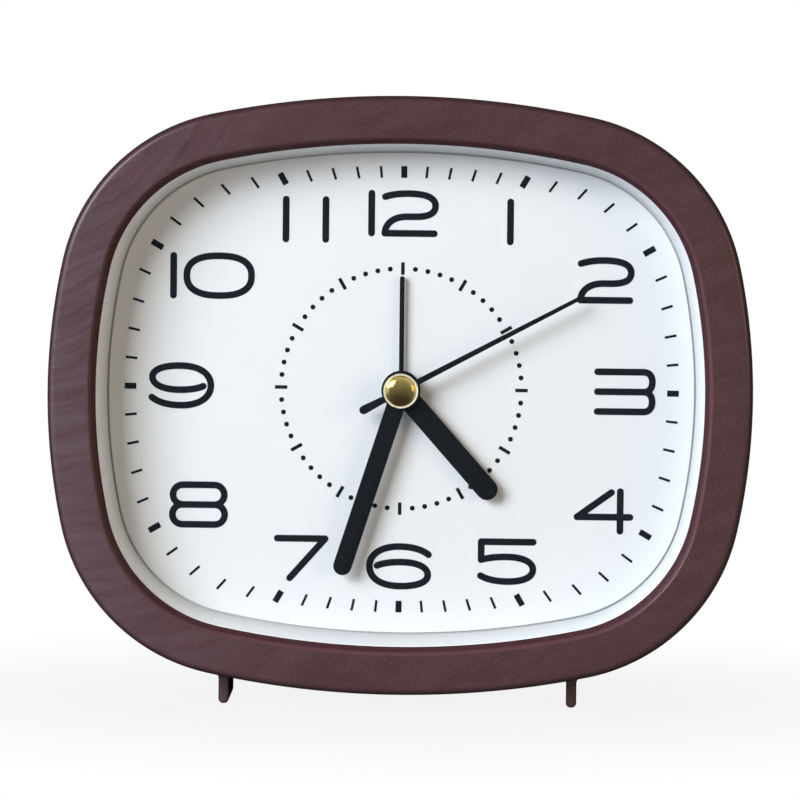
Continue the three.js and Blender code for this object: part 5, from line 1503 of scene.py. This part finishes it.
def cover_openings(case, back):
    """Cutters for screw heads, arbors, sound, switch and cell, and for the door's seat."""
    rear = span("back_cover")[1]
    start = rear - back.cover_wall - OVERCUT
    head_seat = span("case_screw_1")[1] - back.screw_height - back.rest_gap
    cutters = []
    for place in screw_places(case):
        cutters.append(round_opening(place.x, place.y, back.recess, 48, head_seat, rear, back.chamfer))
    for joint in ("time_setting_spin", "alarm_setting_spin"):
        cutters.append(round_opening(*hinge_place(joint), back.arbor_hole, 32, start, rear, back.chamfer))
    x, y = centre("buzzer")
    for i in range(back.slots):
        rise = (i - (back.slots - 1) / 2) * back.slot_pitch
        half = math.sqrt(back.slot_reach**2 - rise**2) - back.slot_margin
        box = centred(x, y + rise, half, back.slot_width / 2, back.slot_width / 2 - HAIR)
        cutters.append(boxed_opening(box, start, rear, back.slot_chamfer))
    x, y = centre("alarm_switch")
    half = back.switch_neck / 2 + FIT
    box = (x - half, y - half, x + half + back.switch_travel, y + half, back.slot_corner)
    cutters.append(boxed_opening(box, start, rear, back.chamfer))
    x, y = centre("battery_door")
    box = centred(x, y, *door_frame(back, 0), back.door_corner)
    cutters.append(block(box, start, rear + OVERCUT))
    seat_front = span("battery_door")[0] - back.rest_gap
    seat = boxed_opening(box, seat_front, rear, back.chamfer, back.door_ledge)
    return [gathered(cutters), seat]


class CLOCK_OT_back(Operator):
    """Back cover with its openings, sound slots and screw sleeves"""

    bl_idname = "clock.make_back"
    bl_label = "Back cover"

    def execute(self, context):
        case, back = context.scene.clock_case, context.scene.clock_back
        cover = combined(cover_dish(case, back), cover_openings(case, back), "DIFFERENCE")
        shank = back.screw_shank + back.shank_play
        ends = [(shank, 0), (shank, span("back_cover")[1] - OVERCUT)]
        shanks = [turned(ends, place.x, place.y, 24) for place in screw_places(case)]
        cover = combined(cover, [gathered(shanks)], "DIFFERENCE")
        piece("rear_cover", cover, "case", finish("cover_brown"), ["back_cover"])
        return {"FINISHED"}


# Points and shape of each flute, and steps down the side of a knob's hollow as shares of its width and depth
FLUTE_POINTS = 10
FLUTE_POWER = 1.5
DISH_STEPS = ((0, 0), (0.3125, 0.2), (0.625, 0.8), (1, 1))


def fluted(x, y, radius, back):
    """Points round the grip flutes of a knob."""
    count = back.flutes * FLUTE_POINTS
    points = []
    for i in range(count):
        angle = FULL * i / count
        hollow = (0.5 - 0.5 * math.cos(back.flutes * angle)) ** FLUTE_POWER
        out = radius - back.flute_depth * hollow
        points.append(Vector((x + out * math.cos(angle), y + out * math.sin(angle))))
    return points


class CLOCK_OT_knobs(Operator):
    """Fluted knobs that set the time and the alarm"""

    bl_idname = "clock.make_knobs"
    bl_label = "Setting knobs"

    def execute(self, context):
        back = context.scene.clock_back
        knobs = (
            ("time_set_knob", "time_setting", "time_setting_spin"),
            ("alarm_set_knob", "alarm_setting", "alarm_setting_spin"),
        )
        count = back.flutes * FLUTE_POINTS
        for node, body, joint in knobs:
            x, y = hinge_place(joint)
            low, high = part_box(node)
            radius = (high.x - low.x) / 2
            front, rear = span(node)
            bore_end = front + back.bore_depth
            bore = [(POINT, bore_end), (back.knob_bore, bore_end), (back.knob_bore, front)]
            lip = radius - back.knob_edge - back.flute_depth - back.dish_margin
            dish = [
                (lip - back.dish_slope * inward, rear - back.knob_dish * sunk) for inward, sunk in DISH_STEPS
            ]
            dish.append((POINT, rear - back.knob_dish))
            side = edge_rows(front, rear, back.knob_foot, back.knob_edge, 5)
            layers = [(circle(x, y, size, count), depth) for size, depth in bore]
            layers += [(fluted(x, y, radius - inset, back), depth) for inset, depth in side]
            layers += [(circle(x, y, size, count), depth) for size, depth in dish]
            piece("fluted_" + node, skin(layers), body, finish("cover_brown"), [node])
        return {"FINISHED"}


class CLOCK_OT_door(Operator):
    """Battery door with its grip ribs"""

    bl_idname = "clock.make_door"
    bl_label = "Battery door"

    def execute(self, context):
        back = context.scene.clock_back
        x, y = centre("battery_door")
        margin = back.door_ledge - back.door_gap
        wide, high = door_frame(back, margin)
        front, rear = span("battery_door")[0], span("back_cover")[1]
        box = centred(x, y, wide, high, back.door_corner + margin)
        plate = edged_block(box, edge_rows(front, rear, back.door_edge, back.chamfer))
        half = back.rib_width / 2
        rows = edge_rows(rear - back.rib_root, rear + back.rib_height, 0.0, back.rib_edge)
        ribs = []
        for i in range(back.ribs):
            middle = y + high - margin - (i + 1) * back.rib_pitch
            ribs.append(edged_block(centred(x, middle, back.rib_length / 2, half, half - HAIR), rows))
        door = combined(plate, [gathered(ribs)], "UNION")
        piece("hatch_door", door, "door", finish("cover_brown"), ["battery_door"])
        return {"FINISHED"}


class CLOCK_OT_switch(Operator):
    """Slide switch for the alarm, with its grip ridges"""

    bl_idname = "clock.make_switch"
    bl_label = "Alarm switch"

    def execute(self, context):
        back = context.scene.clock_back
        x, y = centre("alarm_switch")
        low, top = span("alarm_switch")
        rear = span("back_cover")[1]
        thumb_top = top - back.ridge_height
        rows = edge_rows(rear + back.rest_gap, thumb_top, back.thumb_foot, back.thumb_edge, 4)
        box = centred(x, y, back.switch_width / 2, back.switch_height / 2, back.thumb_corner)
        thumb = edged_block(box, rows)
        added = []
        rows = edge_rows(thumb_top - back.ridge_root, top, 0.0, back.ridge_edge)
        half_height = back.switch_height / 2 - back.ridge_margin
        for i in range(back.ridges):
            middle = x + (i - (back.ridges - 1) / 2) * back.ridge_pitch
            box = centred(middle, y, back.ridge_width / 2, half_height, back.ridge_corner)
            added.append(edged_block(box, rows))
        neck, overlap = back.switch_neck / 2, back.flange / 2
        flange_front = rear - back.cover_wall - back.rest_gap - back.flange
        joint = flange_front + overlap
        shaft = centred(x, y, neck, neck, back.neck_corner)
        flange = centred(x, y, neck, neck + back.flange_reach, back.neck_corner)
        stem = centred(x, y, back.stem, back.stem, back.stem_corner)
        added.append(block(shaft, joint, rear + overlap))
        added.append(block(flange, flange_front, flange_front + back.flange))
        added.append(block(stem, low, joint))
        switch = combined(thumb, added, "UNION")
        piece("slide_switch", switch, "switch", finish("ring_white"), ["alarm_switch"])
        return {"FINISHED"}


class CLOCK_OT_screws(Operator):
    """Case screws with their driver crosses"""

    bl_idname = "clock.make_screws"
    bl_label = "Case screws"

    def execute(self, context):
        case, back = context.scene.clock_case, context.scene.clock_back
        for i in range(len(screw_places(case))):
            node = "case_screw_%d" % (i + 1)
            x, y = centre(node)
            tip, rear = span(node)
            seat = rear - back.screw_height
            crown = back.screw_height - back.crown_foot
            profile = [
                (back.screw_tip, tip),
                (back.screw_shank, tip + back.screw_taper),
                (back.screw_shank, seat),
                (back.screw_head, seat),
            ]
            for left, gone in rounding(1.0, 6):
                profile.append((back.screw_head - back.crown_width * gone, rear - crown * left))
            profile.append((POINT, rear))
            arms = []
            long, short = back.screw_head * back.cross_reach, back.cross_width / 2
            for wide, high in ((long, short), (short, long)):
                box = centred(x, y, wide, high, back.cross_corner)
                arms.append(block(box, rear - back.cross_depth, rear + OVERCUT))
            screw = combined(turned(profile, x, y, 40), arms, "DIFFERENCE")
            piece("cross_" + node, screw, "case", finish("steel"), [node])
        return {"FINISHED"}


# Inside


# Rounded edge of the cell: how far in from its side and along from its end, in millimetres
CELL_EDGE = ((0.8, 0), (0.25, 0.2), (0, 0.7))


class CLOCK_OT_cell(Operator):
    """Battery cell with its raised contact"""

    bl_idname = "clock.make_cell"
    bl_label = "Battery cell"

    def execute(self, context):
        cell = context.scene.clock_cell
        low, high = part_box("battery")
        radius = (high.z - low.z) / 2
        y = (low.y + high.y) / 2
        z = (low.z + high.z) / 2
        nub = high.x - cell.nub_length
        edge = [(radius - inward * MM, along * MM) for inward, along in CELL_EDGE]
        profile = [
            (POINT, low.x + cell.dish_depth),
            (radius * cell.dish_inner, low.x + cell.dish_depth),
            (radius * cell.dish_outer, low.x),
        ]
        profile += [(size, low.x + along) for size, along in edge]
        profile += [(size, nub - along) for size, along in reversed(edge)]
        profile += [
            (cell.nub_radius + cell.nub_foot, nub),
            (cell.nub_radius, nub + cell.nub_rise),
            (cell.nub_radius, high.x - cell.nub_edge),
            (cell.nub_radius - cell.nub_edge, high.x),
            (POINT, high.x),
        ]
        dry_cell = turned(profile, 0, 0, 64, lambda a, b, along: Vector((along, y + a, z + b)))
        piece("dry_cell", dry_cell, "case", finish("cell"), ["battery"])
        return {"FINISHED"}


class CLOCK_OT_inside(Operator):
    """Finishes of the movement and the other pieces inside"""

    bl_idname = "clock.make_inside"
    bl_label = "Inside"

    def execute(self, context):
        slots = {row["node"]: row["material_slot"] for row in frame["record"]["subparts"]}
        for name, node in frame["nodes"].items():
            if node.hide_render:
                continue
            if node.material_slots:
                node.material_slots[0].material = finish(slots[name])
            else:
                node.data.materials.append(finish(slots[name]))
        return {"FINISHED"}


# Stage


Lamp = namedtuple("Lamp", "name direction distance size power colour")

# Lamps: the way they lie from the clock, how far off and how large they are, and the setting of their power
LAMPS = (
    Lamp("key_lamp", (-0.60, -0.65, 0.385), 2.0, (1.2, 0.94), "key", (0.925, 0.953, 0.978)),
    Lamp("window_lamp", (-0.90, -0.40, 0.12), 0.3, (0.2, 0.2), "window", (0.62, 0.76, 1.0)),
    Lamp("bounce_lamp", (0.80, -0.58, 0.14), 1.2, (0.5, 0.5), "bounce", (1.0, 0.72, 0.40)),
)
SENSOR_WIDTH = 36


def pale_floor(stage):
    """Dull floor that looks white and keeps the clock's shadow near its feet."""
    made = Finish("pale_floor")
    cloud = made.noise(made.place(), 6, 3)
    made.shade(
        Base_Color=made.blend(cloud, stage.floor_dark, stage.floor_light),
        Roughness=0.9,
        Specular_IOR_Level=0.1,
    )
    away = made.add("ShaderNodeVectorMath", operation="LENGTH")
    made.feed(away.inputs[0], made.place())
    plain = made.between(away.outputs["Value"], 0.88, 1.0, stage.plain_start, stage.plain_end)
    glow = made.add("ShaderNodeEmission", Color=(1, 1, 1), Strength=1.0).outputs[0]
    made.cover(made.maths("MULTIPLY", made.seen(), plain), glow)
    return made.material


def lay_floor(scene, stage):
    """Square floor under the feet."""
    mesh = bmesh.new()
    size = stage.floor_size
    corners = ((-size, -size), (size, -size), (size, size), (-size, size))
    mesh.faces.new([mesh.verts.new((x, y, CASE_LOW.z)) for x, y in corners])
    data = bpy.data.meshes.new("floor")
    mesh.to_mesh(data)
    mesh.free()
    floor = bpy.data.objects.new("floor", data)
    scene.collection.objects.link(floor)
    data.materials.append(pale_floor(stage))


def light_room(scene, stage):
    """Surroundings that look white and light the clock weakly."""
    world = bpy.data.worlds.new("white_room")
    world.use_nodes = True
    room = Nodes(world.node_tree)
    seen = room.seen()
    background = room.nodes["Background"]
    room.feed(background.inputs["Color"], room.blend(seen, stage.fill_tone, (1, 1, 1)))
    room.feed(background.inputs["Strength"], room.between(seen, stage.fill, 1.0, 0, 1))
    scene.world = world


def hang_lamps(scene, stage, aim):
    """Soft lamps that face the clock."""
    for row in LAMPS:
        light = bpy.data.lights.new(row.name, "AREA")
        light.shape = "RECTANGLE"
        light.size, light.size_y = row.size
        light.energy = getattr(stage, row.power)
        light.color = row.colour
        holder = bpy.data.objects.new(row.name, light)
        away = Vector(row.direction).normalized()
        holder.location = aim + away * row.distance
        holder.rotation_euler = away.to_track_quat("Z", "Y").to_euler()
        scene.collection.objects.link(holder)


def set_camera(scene, stage, aim):
    """Camera in front of the clock and a little above it."""
    view = bpy.data.cameras.new("camera")
    view.sensor_width = SENSOR_WIDTH
    view.lens = SENSOR_WIDTH * stage.distance / stage.view_width
    camera = bpy.data.objects.new("camera", view)
    flat = math.cos(stage.elevation)
    right, forward = math.sin(stage.azimuth) * flat, math.cos(stage.azimuth) * flat
    out = Vector((right, -forward, math.sin(stage.elevation)))
    camera.location = aim + out * stage.distance
    facing = out.to_track_quat("Z", "Y") @ Quaternion((0, 0, 1), stage.roll)
    camera.rotation_euler = facing.to_euler()
    scene.collection.objects.link(camera)
    scene.camera = camera


class CLOCK_OT_stage(Operator):
    """Pale floor, soft lamps, white surroundings and the camera"""

    bl_idname = "clock.make_stage"
    bl_label = "Stage"

    def execute(self, context):
        scene = context.scene
        stage = scene.clock_stage
        aim = spot(stage.aim_side, stage.aim_rise, 0)
        lay_floor(scene, stage)
        light_room(scene, stage)
        hang_lamps(scene, stage, aim)
        set_camera(scene, stage, aim)
        scene.view_settings.view_transform = "Standard"
        return {"FINISHED"}


# Panel and registration

STEPS = (
    CLOCK_OT_case,
    CLOCK_OT_pane,
    CLOCK_OT_ring,
    CLOCK_OT_dial,
    CLOCK_OT_hands,
    CLOCK_OT_cap,
    CLOCK_OT_back,
    CLOCK_OT_knobs,
    CLOCK_OT_door,
    CLOCK_OT_switch,
    CLOCK_OT_screws,
    CLOCK_OT_cell,
    CLOCK_OT_inside,
    CLOCK_OT_stage,
)
SETTINGS = {
    "clock_case": CaseSettings,
    "clock_dial": DialSettings,
    "clock_hands": HandSettings,
    "clock_back": BackSettings,
    "clock_cell": CellSettings,
    "clock_stage": StageSettings,
}


class CLOCK_PT_panel(Panel):
    """Sizes, colours and steps of the clock"""

    bl_label = "Table Alarm Clock"
    bl_idname = "CLOCK_PT_panel"
    bl_space_type = "VIEW_3D"
    bl_region_type = "UI"
    bl_category = "Clock"

    def draw(self, context):
        for name, group in SETTINGS.items():
            box = self.layout.box()
            box.label(text=group.__doc__)
            for key in group.__annotations__:
                box.prop(getattr(context.scene, name), key)
        for step in STEPS:
            self.layout.operator(step.bl_idname)


def register():
    for group in SETTINGS.values():
        bpy.utils.register_class(group)
    for name, group in SETTINGS.items():
        setattr(bpy.types.Scene, name, PointerProperty(type=group))
    for step in (*STEPS, CLOCK_PT_panel):
        bpy.utils.register_class(step)


def unregister():
    for step in (CLOCK_PT_panel, *reversed(STEPS)):
        bpy.utils.unregister_class(step)
    for name in SETTINGS:
        delattr(bpy.types.Scene, name)
    for group in reversed(list(SETTINGS.values())):
        bpy.utils.unregister_class(group)


def main():
    """Registers the classes and makes the pieces in order."""
    register()
    for step in STEPS:
        area, name = step.bl_idname.split(".")
        getattr(getattr(bpy.ops, area), name)()


if __name__ == "__main__":
    main()
